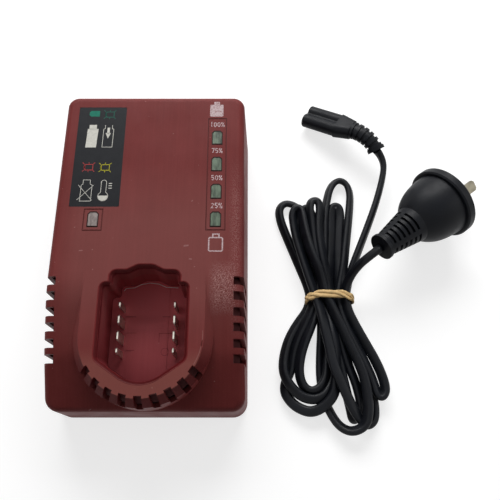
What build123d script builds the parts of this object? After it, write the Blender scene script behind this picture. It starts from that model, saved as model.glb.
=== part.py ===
"""Power tool battery charger with its detachable mains cord set.

Millimetres, +Z up. The origin is under the middle of the charger, on the surface that it stands on.
-Y is the front, where the battery slides down into the pocket. The cord set lies to the right.
"""
from math import atan2, cos, degrees, radians, sin, tan
import os

from build123d import *

# ---- charger case -------------------------------------------------------------------------------
LENGTH = 175.0            # front to back, at the foot of the walls
WIDTH = 104.0             # across, at the foot of the walls
HEIGHT = 53.0             # top deck above the table
FOOT_PROUD = 1.2          # how far the rubber feet hold the case off the table
SEAM_Z = 10.0             # joint between the lower and the upper shell
WALL = 2.4                # case wall
DRAFT = 2.0               # degrees, how much the walls lean in
CORNER_R = 8.0            # corners seen from above
RIM_R = 4.0               # rounding where the deck turns down into the walls
SEAM_GROOVE = 0.4         # shadow gap round the seam
LAP_HEIGHT = 2.6          # tongue of the lower shell inside the upper one
LAP_GAP = 0.1             # play of that tongue

# ---- sloping front deck: where it starts, where it steepens and its two slopes -------------------
DECK_BEND_Y = 58.4        # from the front foot of the case
DECK_DIP_Y = 27.2
DECK_SLOPE = 16.5         # degrees
NOSE_SLOPE = 25.5         # degrees
DECK_BEND_R = 65.0
DECK_DIP_R = 40.0

# ---- round-nosed collar and battery pocket -------------------------------------------------------
COLLAR_Y = 36.3           # centre of its round nose, from the front foot of the case
COLLAR_R = 35.0           # outside of its wall
COLLAR_BEVEL = 4.0        # bevel round its top edge, across
COLLAR_BEVEL_H = 6.0      # and down
COLLAR_BACK = 80.0        # where it has run out into the deck
SLOT_ANGLES = [0, 13.9, 27.7, 41.6, 55.4]
SLOT_W = 3.8
SLOT_IN = 1.3             # how far the slots cut into the collar's top face
SLOT_DEPTH = 12.5         # how far down they run
POCKET_W = 43.0           # battery stem opening, across
POCKET_NOSE_Y = COLLAR_Y - 26.9     # where the two slanted front sides would meet
POCKET_NOSE_ANGLE = 34.6  # degrees, their slant
POCKET_NOSE_R = 17.0      # rounding between them
POCKET_BACK_W = 34.0      # narrower rear part
POCKET_STEP_Y = 61.6      # where it narrows, from the front foot of the case
POCKET_BACK_Y = 68.1      # its rear side
POCKET_BOW_W = 18.6       # middle of the rear side, bowed out
POCKET_BOW = 2.8
POCKET_DEPTH = 26.0
POCKET_WALL = 2.0
MOUTH_BEVEL = 1.4

# ---- terminal block and contacts -----------------------------------------------------------------
BLOCK_GAP = 0.15          # play of the terminal block in the pocket
BLOCK_T = 4.5             # its thickness
BLOCK_FLANGE_T = 2.0      # flange under the pocket's wall
BLOCK_PAD_W = 19.0        # raised middle of the pocket floor
BLOCK_PAD_H = 0.4
BLOCK_LEG_X = 8.5
BLOCK_LEG_YS = [COLLAR_Y - 17.8, POCKET_STEP_Y + 3.6]
BLOCK_LEG_R = 2.2
CONTACT_X = 14.3
CONTACT_YS = [30.0, 37.8, 46.2, 54.3]
CONTACT_WIDTHS = [3.2, 5.0, 5.0, 3.2]
CONTACT_T = 0.8
CONTACT_RISE = 14.0       # tips above the pocket floor

# ---- side vents -----------------------------------------------------------------------------------
VENT_YS = [25.7, 33.0, 40.9, 48.2, 56.0, 63.6]
VENT_L = 4.3
VENT_IN = 5.2             # how far they cut into the deck
VENT_FOOT_Z = 22.0

# ---- indicators -----------------------------------------------------------------------------------
GAUGE_X = WIDTH / 2 - 16.8      # placed from the right and rear foot of the walls
GAUGE_YS = [LENGTH - 78.0, LENGTH - 61.8, LENGTH - 45.4, LENGTH - 29.0]
STATUS_X = 22.7 - WIDTH / 2     # from the left foot
STATUS_Y = LENGTH - 78.0
LENS_W = 5.2
LENS_L = 8.2
LENS_BEVEL = 1.2          # cut corners at the rear end of each window
LENS_FLANGE = 1.1
LENS_FLANGE_T = 1.0
LENS_DIP = 0.15           # face of the lens below the deck
GROOVE_W = 0.5
GROOVE_DEPTH = 0.3
GAUGE_FRAME = (GAUGE_X - 5.1, GAUGE_X + 5.1, GAUGE_YS[0] - 6.2, GAUGE_YS[-1] + 12.4)
STATUS_FRAME = (STATUS_X - 5.0, STATUS_X + 5.0, STATUS_Y - 6.4, STATUS_Y + 6.0)
LABEL_W = 26.6
LABEL_X = 9.3 - WIDTH / 2       # its left edge, from the left foot
LABEL_BOX = (LABEL_X, LABEL_X + LABEL_W, LENGTH - 70.8, LENGTH - 9.4)
LABEL_T = 0.25
LABEL_DIP = 0.05

# ---- inside ----------------------------------------------------------------------------------------
BOARD_TOP = 17.0
BOARD_T = 1.6
BOARD_GAP = 2.2           # from the case wall
BOARD_NOTCH = 13.0        # cut corners that clear the case screws
POST_X = WIDTH / 2 - 16.0
POST_YS = [26.0, LENGTH - 25.0]
BOARD_POSTS = [(x, y) for y in POST_YS for x in (-POST_X, POST_X)]
BOARD_PEG_R = 1.3
POST_R = 3.2
LAMP_BOARD_TOP = HEIGHT - 6.0
LAMP_COLUMN = (GAUGE_X - 7.2, GAUGE_X + 7.4, GAUGE_YS[0] - 11.5, GAUGE_YS[-1] + 11.0)
LAMP_BRIDGE = (STATUS_X - 5.2, GAUGE_X - 5.2, STATUS_Y - 7.5, STATUS_Y + 6.5)
LAMP_STUDS = [(GAUGE_X, GAUGE_YS[0] - 8.6), (GAUGE_X, GAUGE_YS[-1] + 8.4), (STATUS_X + 10.3, STATUS_Y)]
LAMP_STUD_R = 2.0
LAMP_T = 1.6              # LED body
LINK_BOX = (GAUGE_X + 3.8, GAUGE_X + 5.2, GAUGE_YS[1] + 4.8, GAUGE_YS[1] + 12.8)
BULK_X, BULK_Y = 17.0 - WIDTH / 2, 122.0
BULK_R, BULK_H = 9.0, 26.0
OUTPUT_CAN_XS = [WIDTH / 2 - 22.0, WIDTH / 2 - 10.0]
OUTPUT_CAN_Y = 84.0
OUTPUT_CAN_R, OUTPUT_CAN_H = 5.0, 20.0
CORE_X, CORE_Y = BULK_X + 27.0, LENGTH - 49.0
FILTER_BOX = (5.0, 23.0, LENGTH - 19.0, LENGTH - 11.0)
FILTER_H = 15.0
FUSE_BOX = (-6.0, 2.4, LENGTH - 17.0, LENGTH - 12.8)
FUSE_H = 8.0
CHOKE_X, CHOKE_Y = 16.0 - WIDTH / 2, 95.0
SINK_L = 34.0
SINK_T = 2.0              # its plate
SINK_1 = (20.0, LENGTH - 47.0)
SINK_1_H = 24.0
SINK_2 = (0.0, 88.0)
SINK_2_H = 22.0
INLET_X = -22.0
INLET_W = 20.6
INLET_H = 12.4
INLET_L = 17.0
PIN_PITCH = 8.6
PIN_R = 1.2

# ---- feet, screws, wall-hanging keyholes -----------------------------------------------------------
FOOT_X = WIDTH / 2 - 14.0
FOOT_YS = [24.0, LENGTH - 22.0]
FOOT_R = 5.0
FOOT_SUNK = 0.8
SCREW_X = WIDTH / 2 - 8.0
SCREW_YS = [11.0, LENGTH - 11.0]
SCREW_R = 1.5
SCREW_HEAD_R = 3.0
SCREW_HEAD_H = 2.2
SCREW_L = 17.0
BOSS_R = 3.6
KEYHOLE_YS = [42.0, 132.0]
KEYHOLE_HEAD_R = 4.5
KEYHOLE_SHANK_R = 2.2
KEYHOLE_RUN = 9.0

# ---- cord set --------------------------------------------------------------------------------------
CORD_D = 4.2              # round flex of the same section as the flat two-core flex
C7_W = 16.4
C7_D = 8.6
C7_VALLEY = 1.5           # depth of the valleys between its two lobes
C7_VALLEY_R = 0.7
C7_NOSE = 24.0
C7_BODY = 33.0
C7_FACE = (91.2, 103.4, 4.9)
C7_AZIMUTH, C7_PITCH, C7_ROLL = -31.5, 17.0, -8.0
C7_END_AZIMUTH, C7_END_PITCH = -62.0, -22.0
SLEEVE_SUNK = 1.5         # contact sleeves behind the connector's face
SLEEVE_L = 13.0
SLEEVE_T = 0.6
PIN_ENTRY = 0.2           # play of the inlet's pins in the face
PIN_FIT = 0.05            # and in the sleeves
RELIEF_L = 21.0
RELIEF_RIBS = 6
PLUG_FACE = (168.93, 35.25)   # middle of its pin face, seen from above
PLUG_AZIMUTH, PLUG_PITCH = 37.87, -8.69
PLUG_RIM_R = 21.5
PLUG_RIM_T = 5.6
PLUG_BELL_R = 19.2
PLUG_BELL_START = 11.0    # its radius where it grows out of the boot
PLUG_BOOT_L = 25.5
PLUG_BOOT_R = 7.0         # at the thin end
PLUG_FLANGE_R = 7.8
PLUG_FLANGE_T = 2.6
PLUG_RIBS = 6
PLUG_RIB_STEP = 3.2
PLUG_RIB_CUT = 1.5        # width of each groove
PLUG_RIB_DEPTH = 1.5
PLUG_L = 54.0             # boot flange to pin face
BLADE_W = 6.35
BLADE_T = 1.6
BLADE_L = 17.1
BLADE_PITCH_R = 7.92      # centre of each blade from the plug's axis
BLADE_ROOT = 4.0          # moulded into the plug
BLADE_ANGLES = (118.0, 238.0)   # round the axis, the pair's usual 120 degrees apart
BLADE_SLEEVE_L = 8.5
BLADE_SLEEVE_T = 0.35
HANK_H = 13.0
WAIST_X = 99.4            # middle of the hank where the band holds it
WAIST_W = 28.0
BAND_Y = -20.5
BAND_W = 8.0
BAND_T = 1.6

FRONT = -LENGTH / 2
FLOOR_Z = HEIGHT - POCKET_DEPTH
DECK_IN_Z = HEIGHT - WALL
PARTS = {}


def aft(y):
    """Place along Y of something that is y behind the case's front foot."""
    return FRONT + y


def lean(z):
    """How far a drafted case wall has leaned in at height z."""
    return (z - FOOT_PROUD) * tan(radians(DRAFT))


def block(x0, x1, y0, y1, z0, z1):
    """A plain box from its six limits."""
    return Pos((x0 + x1) / 2, (y0 + y1) / 2, (z0 + z1) / 2) * Box(x1 - x0, y1 - y0, z1 - z0)


def rod(x, y, z0, z1, r):
    """An upright cylinder."""
    return Pos(x, y, (z0 + z1) / 2) * Cylinder(r, z1 - z0)


def stood(limits, z0, z1):
    """A plain box from its plan's limits, with Y from the case's front foot."""
    x0, x1, y0, y1 = limits
    return block(x0, x1, aft(y0), aft(y1), z0, z1)


def walls(inset, z0, z1):
    """The case's drafted plan outline, inset evenly, between two heights."""
    trim = 2 * (inset + lean(z0))
    plan = RectangleRounded(WIDTH - trim, LENGTH - trim, CORNER_R - inset)
    return extrude(Plane.XY.offset(z0) * plan, z1 - z0, taper=DRAFT)


def below_deck(drop):
    """Everything under the deck's side view, which bends down in two arcs towards the front."""
    dip_z = HEIGHT - (DECK_BEND_Y - DECK_DIP_Y) * tan(radians(DECK_SLOPE))
    nose_z = dip_z - (DECK_DIP_Y + 10) * tan(radians(NOSE_SLOPE))
    back, front, base = aft(LENGTH + 10), aft(-10), -5.0
    line = FilletPolyline((back, HEIGHT - drop), (aft(DECK_BEND_Y), HEIGHT - drop),
                          (aft(DECK_DIP_Y), dip_z - drop), (front, nose_z - drop),
                          radius=[DECK_BEND_R - drop, DECK_DIP_R - drop])
    rest = Polyline((front, nose_z - drop), (front, base), (back, base), (back, HEIGHT - drop))
    return extrude(Plane.YZ * make_face([*line.edges(), *rest.edges()]), WIDTH, both=True)


def rim_edges(solid):
    """The chain of edges where the deck meets the walls."""
    def is_rim(edge):
        middle, rise = edge.center(), abs((edge @ 1).Z - (edge @ 0).Z)
        across = edge.geom_type == GeomType.LINE and abs(middle.X) < 1
        inner = across and aft(8) < middle.Y < aft(LENGTH - 8)
        return middle.Z > SEAM_Z + 12 and rise < 20 and not inner
    return [edge for edge in solid.edges() if is_rim(edge)]


def case_form():
    """The outside of the closed case without its collar."""
    form = walls(0, FOOT_PROUD, HEIGHT + 10) & below_deck(0)
    return form.fillet(RIM_R, rim_edges(form))


def stadium(r, back):
    """Plan of the collar: a half circle at the front and straight sides running back."""
    y = aft(COLLAR_Y)
    nose = RadiusArc((-r, y), (r, y), -r)
    sides = Polyline((r, y), (r, aft(back)), (-r, aft(back)), (-r, y))
    return make_face([*nose.edges(), *sides.edges()])


def collar_form(inset, drop, z0):
    """The collar, bevelled round its top."""
    shoulder = HEIGHT - COLLAR_BEVEL_H - drop
    bevel = degrees(atan2(COLLAR_BEVEL, COLLAR_BEVEL_H))
    plan = stadium(COLLAR_R - inset, COLLAR_BACK - inset)
    lower = extrude(Plane.XY.offset(z0) * plan, shoulder - z0)
    upper = extrude(Plane.XY.offset(shoulder) * plan, COLLAR_BEVEL_H, taper=bevel)
    return lower + upper


def grown(line, grow):
    """A closed counter-clockwise outline of corners and roundings, every side moved out by grow."""
    corners = []
    for (x0, y0, _), (x, y, r), (x1, y1, _) in zip([line[-1], *line], line, [*line[1:], line[0]]):
        u, v = Vector(x - x0, y - y0).normalized(), Vector(x1 - x, y1 - y).normalized()
        out_u, out_v = Vector(u.Y, -u.X), Vector(v.Y, -v.X)
        move = (out_u + out_v) * (grow / (1 + out_u.dot(out_v)))
        outer = u.X * v.Y > u.Y * v.X
        corners.append((x + move.X, y + move.Y, r + grow if outer else max(r - grow, 0.3)))
    return corners


def pocket_plan(grow):
    """Outline of the battery stem: wedge-shaped round nose, straight sides, stepped and bowed back."""
    half, narrow = POCKET_W / 2, POCKET_BACK_W / 2
    rise = half * tan(radians(POCKET_NOSE_ANGLE))
    side = [(half, POCKET_NOSE_Y + rise, 4.0), (half, POCKET_STEP_Y, 2.0), (narrow, POCKET_STEP_Y, 1.6),
            (narrow, POCKET_BACK_Y, 2.6), (POCKET_BOW_W / 2, POCKET_BACK_Y, 5.0),
            (POCKET_BOW_W / 5, POCKET_BACK_Y + POCKET_BOW, 4.0)]
    line = [(0, POCKET_NOSE_Y, POCKET_NOSE_R)] + side + [(-x, y, r) for x, y, r in side[::-1]]
    line = [(x, aft(y), r) for x, y, r in grown(line, grow)]
    outline = make_face(Polyline(*[(x, y) for x, y, _ in line], close=True).edges())
    for x, y, r in line:
        corner = min(outline.vertices(), key=lambda v: (v.X - x) ** 2 + (v.Y - y) ** 2)
        outline = fillet(corner, r)
    return outline


def lens_plan(x, y, grow):
    """Window of an indicator: a rectangle with its two rear corners cut off."""
    w, l, cut = LENS_W / 2 + grow, LENS_L / 2 + grow, LENS_BEVEL
    points = [(-w, -l), (w, -l), (w, l - cut), (w - cut, l), (cut - w, l), (-w, l - cut)]
    return Pos(x, aft(y)) * make_face(Polyline(*points, close=True).edges())


def lens_spots():
    """Every indicator's place: four for the fuel gauge, one for the status lamp."""
    return [(GAUGE_X, y) for y in GAUGE_YS] + [(STATUS_X, STATUS_Y)]


def groove(limits):
    """A fine engraved rectangle on the deck."""
    x0, x1, y0, y1 = limits
    ring = Rectangle(x1 - x0, y1 - y0) - Rectangle(x1 - x0 - 2 * GROOVE_W, y1 - y0 - 2 * GROOVE_W)
    place = Pos((x0 + x1) / 2, aft((y0 + y1) / 2), HEIGHT - GROOVE_DEPTH)
    return extrude(place * ring, 2)


def figure_eight(grow):
    """Section of the figure-eight connector: two lobes joined by a waist."""
    r, off = C7_D / 2 + grow, (C7_W - C7_D) / 2
    waist = Rectangle(2 * off, 2 * (r - C7_VALLEY))
    outline = Pos(-off, 0) * Circle(r) + Pos(off, 0) * Circle(r) + waist
    return fillet([v for v in outline.vertices() if abs(v.X) < off], C7_VALLEY_R)


def inlet_z():
    return BOARD_TOP + INLET_H / 2


def screw_spots():
    return [(x, aft(y)) for x in (-SCREW_X, SCREW_X) for y in SCREW_YS]


def upper_shell():
    """Deck, walls, collar and pocket in one moulding."""
    form = case_form() + collar_form(0, 0, FLOOR_Z)
    cavity = walls(WALL, FOOT_PROUD, HEIGHT + 10) & below_deck(WALL)
    cavity += collar_form(WALL, WALL, FLOOR_Z - 2)
    above_seam = block(-WIDTH, WIDTH, -LENGTH, LENGTH, SEAM_Z, HEIGHT + 5)
    shell = (form & above_seam) - cavity
    tube_foot = FLOOR_Z - BLOCK_T + BLOCK_FLANGE_T
    tube = extrude(Plane.XY.offset(tube_foot) * pocket_plan(POCKET_WALL), HEIGHT - 1 - tube_foot)
    shell += tube & form
    for x, y in screw_spots():
        shell += rod(x, y, SEAM_Z, HEIGHT, BOSS_R) & form
    for x, y in LAMP_STUDS:
        shell += rod(x, aft(y), LAMP_BOARD_TOP, HEIGHT - 1, LAMP_STUD_R)
    shell -= extrude(Plane.XY.offset(tube_foot - 1) * pocket_plan(0), HEIGHT)
    mouth = extrude(Plane.XY.offset(HEIGHT) * pocket_plan(MOUTH_BEVEL), -MOUTH_BEVEL, taper=45)
    shell -= mouth
    shell -= walls(WALL / 2, SEAM_Z, SEAM_Z + LAP_HEIGHT) - walls(WALL + 5, SEAM_Z - 1, SEAM_Z + 9) \
        - sum_of(rod(x, y, SEAM_Z, HEIGHT, BOSS_R) for x, y in screw_spots())
    for x, y in screw_spots():
        shell -= rod(x, y, SEAM_Z, SCREW_HEAD_H + FOOT_PROUD + 1 + SCREW_L + 1, SCREW_R)
    for cut in collar_slots() + side_vents():
        shell -= cut
    for x, y in lens_spots():
        shell -= extrude(Plane.XY.offset(DECK_IN_Z - 1) * lens_plan(x, y, 0), WALL + 2)
    shell -= groove(GAUGE_FRAME) + groove(STATUS_FRAME)
    shell -= stood(LABEL_BOX, HEIGHT - LABEL_T - LABEL_DIP, HEIGHT + 1)
    window = Plane((INLET_X, aft(LENGTH) + 2, inlet_z()), x_dir=(1, 0, 0), z_dir=(0, -1, 0))
    shell -= extrude(window * RectangleRounded(INLET_W - 2.4, INLET_H - 1.8, 4.0), 8)
    return shell


def sum_of(solids):
    """Fuse a run of solids."""
    solids = list(solids)
    return solids[0].fuse(*solids[1:]) if len(solids) > 1 else solids[0]


def collar_slots():
    """Radial slots through the collar's bevel and wall."""
    cuts = []
    for angle in sorted({s * a for a in SLOT_ANGLES for s in (-1, 1)}):
        inner = COLLAR_R - COLLAR_BEVEL - SLOT_IN
        bar = Pos(0, -(inner + 8), HEIGHT - SLOT_DEPTH / 2 + 1) * Box(SLOT_W, 16, SLOT_DEPTH + 2)
        cuts.append(Pos(0, aft(COLLAR_Y)) * Rot(0, 0, angle) * bar)
    return cuts


def side_vents():
    """Slots over both top corners and down the side walls."""
    cuts = []
    for side in (-1, 1):
        inner, outer = side * (WIDTH / 2 - lean(HEIGHT) - VENT_IN), side * (WIDTH / 2 + 2)
        for y in VENT_YS:
            cuts.append(block(min(inner, outer), max(inner, outer), aft(y - VENT_L / 2),
                              aft(y + VENT_L / 2), VENT_FOOT_Z, HEIGHT + 2))
    return cuts


def keyhole(y):
    """Wall-hanging keyhole in the floor: a round entry and a narrow run towards the rear."""
    run = block(-KEYHOLE_SHANK_R, KEYHOLE_SHANK_R, aft(y), aft(y) + KEYHOLE_RUN, 0, 6)
    end = rod(0, aft(y) + KEYHOLE_RUN, 0, 6, KEYHOLE_SHANK_R)
    return rod(0, aft(y), 0, 6, KEYHOLE_HEAD_R) + run + end


def lower_shell():
    """Tray with its tongue, screw posts, board posts, foot seats and keyholes."""
    floor_top = FOOT_PROUD + WALL
    outer = walls(0, FOOT_PROUD, SEAM_Z)
    outer = outer.fillet(0.8, outer.faces().sort_by(Axis.Z)[0].outer_wire().edges())
    tray = outer - walls(WALL, floor_top, SEAM_Z + 5)
    tray += walls(WALL / 2 + LAP_GAP, SEAM_Z - 1, SEAM_Z + LAP_HEIGHT - LAP_GAP) \
        - walls(WALL, SEAM_Z - 2, SEAM_Z + 5)
    tray -= walls(-1, SEAM_Z - SEAM_GROOVE, SEAM_Z) - walls(SEAM_GROOVE, SEAM_Z - 2, SEAM_Z + 5)
    for x, y in screw_spots():
        tray += rod(x, y, FOOT_PROUD + 1, SEAM_Z, BOSS_R + 0.6)
    head_z = FOOT_PROUD + 1 + SCREW_HEAD_H
    for x, y in screw_spots():
        tray -= rod(x, y, 0, head_z, SCREW_HEAD_R + 0.3)
        tray -= rod(x, y, 0, SEAM_Z + 5, SCREW_R + 0.2)
        tray -= rod(x, y, SEAM_Z, SEAM_Z + LAP_HEIGHT, BOSS_R + LAP_GAP)
    for x, y in BOARD_POSTS:
        tray += rod(x, aft(y), floor_top - 0.5, BOARD_TOP - BOARD_T, POST_R)
        tray += rod(x, aft(y), BOARD_TOP - BOARD_T - 1, BOARD_TOP + 1, BOARD_PEG_R)
    for x in (-FOOT_X, FOOT_X):
        for y in FOOT_YS:
            tray -= rod(x, aft(y), 0, FOOT_PROUD + FOOT_SUNK, FOOT_R)
    for y in KEYHOLE_YS:
        tray -= keyhole(y)
    return tray


def terminal_block():
    """Floor of the pocket, flanged under the pocket's wall, on four legs, slotted for the contacts."""
    foot = FLOOR_Z - BLOCK_T
    flange = extrude(Plane.XY.offset(foot) * pocket_plan(POCKET_WALL), BLOCK_FLANGE_T)
    plug = extrude(Plane.XY.offset(foot) * pocket_plan(-BLOCK_GAP), BLOCK_T)
    body = flange + plug
    pad = block(-BLOCK_PAD_W / 2, BLOCK_PAD_W / 2, FRONT, -FRONT, foot, FLOOR_Z + BLOCK_PAD_H)
    body += pad & extrude(Plane.XY.offset(foot) * pocket_plan(-BLOCK_GAP), BLOCK_T + BLOCK_PAD_H)
    for x in (-BLOCK_LEG_X, BLOCK_LEG_X):
        for y in BLOCK_LEG_YS:
            body += rod(x, aft(y), BOARD_TOP, foot + 0.5, BLOCK_LEG_R)
    for contact in contacts().values():
        body -= contact
    return body


def contacts():
    """Two rows of upright blades, soldered to the board, their tips bevelled."""
    blades = {}
    for side, name in ((-1, "left"), (1, "right")):
        for i, (y, w) in enumerate(zip(CONTACT_YS, CONTACT_WIDTHS), 1):
            blade = block(-CONTACT_T / 2, CONTACT_T / 2, -w / 2, w / 2, BOARD_TOP, FLOOR_Z + CONTACT_RISE)
            tip = blade.edges().filter_by(Axis.X).sort_by(Axis.Z)[-2:]
            blade = chamfer(tip, 0.8)
            blades[f"contact_{name}_{i}"] = Pos(side * CONTACT_X, aft(y)) * blade
    return blades


def lens(x, y):
    """Light window with a flange under the deck."""
    stem = extrude(Plane.XY.offset(DECK_IN_Z - 0.5) * lens_plan(x, y, 0), WALL + 0.5 - LENS_DIP)
    flange = extrude(Plane.XY.offset(DECK_IN_Z - LENS_FLANGE_T) * lens_plan(x, y, LENS_FLANGE), LENS_FLANGE_T)
    return stem + flange


def lamp(x, y):
    """Surface-mounted LED under a lens."""
    body = Pos(x, aft(y), LAMP_BOARD_TOP + LAMP_T / 2 - 0.3) * Box(3.0, 3.4, LAMP_T - 0.6)
    dome = Pos(x, aft(y), LAMP_BOARD_TOP + LAMP_T - 0.8) * Cylinder(1.1, 0.8)
    return body + dome


def lamp_board():
    """L-shaped indicator board under the deck."""
    z0 = LAMP_BOARD_TOP - BOARD_T
    return stood(LAMP_COLUMN, z0, LAMP_BOARD_TOP) + stood(LAMP_BRIDGE, z0, LAMP_BOARD_TOP)


def main_board():
    """Main circuit board with cut corners, on the four posts."""
    z0 = BOARD_TOP - BOARD_T
    w = WIDTH - 2 * (WALL + lean(BOARD_TOP) + BOARD_GAP)
    l = LENGTH - 2 * (WALL + lean(BOARD_TOP) + BOARD_GAP)
    board = Pos(0, 0, z0 + BOARD_T / 2) * Box(w, l, BOARD_T)
    for sx in (-1, 1):
        for sy in (-1, 1):
            board -= Pos(sx * w / 2, sy * l / 2, z0) * Box(2 * BOARD_NOTCH, 2 * BOARD_NOTCH, 9)
    for x, y in BOARD_POSTS:
        board -= rod(x, aft(y), 0, BOARD_TOP + 5, BOARD_PEG_R)
    return board


def inlet():
    """Two-pin appliance inlet behind the window in the rear wall."""
    face = aft(LENGTH) - lean(inlet_z() - INLET_H / 2) - WALL - 0.5
    place = Plane((INLET_X, face, inlet_z()), x_dir=(1, 0, 0), z_dir=(0, -1, 0))
    body = extrude(place * RectangleRounded(INLET_W, INLET_H, 2.0), INLET_L)
    body -= extrude(place * figure_eight(0.3), INLET_L - 4.5)
    pins = {}
    for side, name in ((-1, "left"), (1, "right")):
        seat = place * Pos(side * PIN_PITCH / 2, 0, 3.0)
        pin = seat * Pos(0, 0, (INLET_L - 1.0) / 2) * Cylinder(PIN_R, INLET_L - 1.0)
        pin = pin.fillet(0.6, pin.edges().sort_by(Axis.Y)[-1:])
        x, y = INLET_X + side * PIN_PITCH / 2, face - INLET_L - 1.2
        leg = block(x - 0.6, x + 0.6, y - 0.6, y + 0.6, BOARD_TOP, inlet_z() + 0.6)
        pins[f"inlet_pin_{name}"] = pin + leg
    for pin in pins.values():
        body -= pin
    return {"inlet_housing": body, **pins}


def can(x, y, r, h):
    """Electrolytic capacitor with its crimped neck."""
    body = rod(x, aft(y), BOARD_TOP, BOARD_TOP + h, r)
    body = body.fillet(0.8, body.edges().sort_by(Axis.Z)[-1:])
    neck = rod(x, aft(y), BOARD_TOP + 2.0, BOARD_TOP + 3.2, r + 1) - rod(x, aft(y), 0, HEIGHT, r - 0.5)
    return body - neck


def transformer():
    """Ferrite core and the wound bobbin through it."""
    x, y, z = CORE_X, aft(CORE_Y), BOARD_TOP
    core = Pos(x, y, z + 13.0) * Box(28.0, 12.0, 20.0)
    core -= Pos(x, y, z + 13.0) * Box(18.0, 14.0, 12.0)
    core += Pos(x, y, z + 13.0) * Box(7.0, 12.0, 20.0)
    bobbin = Pos(x, y, z + 13.0) * Box(18.0, 24.0, 12.0) + Pos(x, y, z + 1.5) * Box(24.0, 24.0, 3.0)
    for sy in (-1, 1):
        bobbin += Pos(x, y + sy * 11.2, z + 4.0) * Box(16.0, 1.6, 8.0)
    bobbin -= core
    return {"transformer_core": core, "transformer_winding": bobbin}


def heat_sink(x, y, length, height, turn):
    """Finned aluminium strip standing on the board."""
    plate = Box(length, SINK_T, height)
    for i in range(5):
        fin_x = -length / 2 + 2.0 + i * (length - 4.0) / 4
        plate += Pos(fin_x, 2.2, 0) * Box(1.2, 3.0, height)
    return Pos(x, aft(y), BOARD_TOP + height / 2) * Rot(0, 0, turn) * plate


def power_package(x, y, turn):
    """Plastic transistor package against the flat side of its heat sink, tab up."""
    body = Pos(0, -3.3, 8.0) * Box(10.0, 4.6, 9.6) + Pos(0, -1.65, 14.5) * Box(10.0, 1.3, 5.0)
    for i in (-1, 0, 1):
        body += Pos(2.5 * i, -3.3, 1.8) * Box(0.8, 0.5, 3.6)
    return Pos(x, aft(y), BOARD_TOP) * Rot(0, 0, turn) * body


def choke(x, y):
    """Toroid on edge."""
    ring = Cylinder(9.0, 9.0) - Cylinder(3.6, 9.0)
    return Pos(x, aft(y), BOARD_TOP + 9.0) * Rot(90, 0, 0) * ring


def screw(x, y):
    """Self-tapping case screw with a cross recess."""
    head_top = FOOT_PROUD + 1 + SCREW_HEAD_H
    head = rod(x, y, FOOT_PROUD + 1, head_top, SCREW_HEAD_R)
    head = head.fillet(0.7, head.edges().sort_by(Axis.Z)[:1])
    for l, w in ((3.4, 0.8), (0.8, 3.4)):
        head -= Pos(x, y, FOOT_PROUD + 1) * Box(l, w, 2.4)
    return head + rod(x, y, head_top - 0.2, head_top + SCREW_L - 1, SCREW_R)


def heading(azimuth, pitch):
    """Unit vector from a compass turn and a climb, in degrees."""
    a, p = radians(azimuth), radians(pitch)
    return Vector(cos(p) * cos(a), cos(p) * sin(a), sin(p))


def c7_plane():
    """Face of the connector: X across its two lobes, Z from the face towards the flex."""
    axis = heading(C7_AZIMUTH, C7_PITCH)
    level = Vector(0, 0, 1).cross(axis).normalized()
    across = level * cos(radians(C7_ROLL)) + axis.cross(level) * sin(radians(C7_ROLL))
    return Plane(C7_FACE, x_dir=across, z_dir=axis)


def relief_planes(count):
    """Planes along the bent relief, from the connector's grip to the flex."""
    start, face = c7_plane(), heading(C7_END_AZIMUTH, C7_END_PITCH)
    point, planes = start.origin + start.z_dir * C7_BODY, []
    for i in range(count + 1):
        t = i / count
        axis = (start.z_dir * (1 - t) + face * t).normalized()
        across = (start.x_dir * (1 - t) + Vector(0, 0, 1).cross(face) * t)
        across = (across - axis * across.dot(axis)).normalized()
        planes.append(Plane(point, x_dir=across, z_dir=axis))
        point = point + axis * (RELIEF_L / count)
    return planes


def c7_connector():
    """Figure-eight appliance connector with its grip and ribbed relief."""
    place = c7_plane()
    nose = extrude(place * figure_eight(0), C7_NOSE)
    tip = min(nose.faces(), key=lambda face: (face.center() - place.origin).dot(place.z_dir))
    nose = nose.fillet(0.6, tip.edges())
    grip = loft([place.offset(C7_NOSE - 1) * RectangleRounded(C7_W + 0.6, C7_D + 0.8, 4.2),
                 place.offset(C7_BODY) * RectangleRounded(12.4, C7_D + 0.6, 4.0)])
    body = nose + grip
    planes = relief_planes(2 * RELIEF_RIBS)
    body += loft([planes[i] * Ellipse(4.9 - 0.11 * i, 3.9 - 0.07 * i) for i in (0, 4, 8, 12)])
    for i in range(RELIEF_RIBS):
        plane = planes[2 * i]
        body += extrude(plane * Ellipse(6.0 - 0.2 * i, 4.6 - 0.1 * i), 1.9)
    end = planes[-1]
    body += extrude(end.offset(-2.2) * Ellipse(5.6, 4.6), 2.2)
    sleeves = {}
    for side, name in ((-1, "left"), (1, "right")):
        aside = Pos(side * PIN_PITCH / 2, 0)
        seat = place.offset(SLEEVE_SUNK) * aside
        body -= extrude(place * aside * Circle(PIN_R + PIN_ENTRY), SLEEVE_SUNK)
        body -= extrude(seat * Circle(PIN_R + SLEEVE_T), SLEEVE_L)
        ring = Circle(PIN_R + SLEEVE_T) - Circle(PIN_R + PIN_FIT)
        sleeves[f"connector_sleeve_{name}"] = extrude(seat * ring, SLEEVE_L)
    return {"c7_connector_body": body, **sleeves}


def tube(points):
    """Round flex along straight runs joined by tangent arcs as wide as the runs allow."""
    points = [Vector(*p) for p in points]
    runs = [b - a for a, b in zip(points, points[1:])]
    radii = [0.45 * min(a.length, b.length) / tan(radians(a.get_angle(b) / 2))
             for a, b in zip(runs, runs[1:])]
    print("cord arcs, mm:", [round(r, 1) for r in radii])
    path = FilletPolyline(*points, radius=radii)
    section = Plane(path @ 0, z_dir=path % 0) * Circle(CORD_D / 2)
    return sweep(section, path=path)


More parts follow.
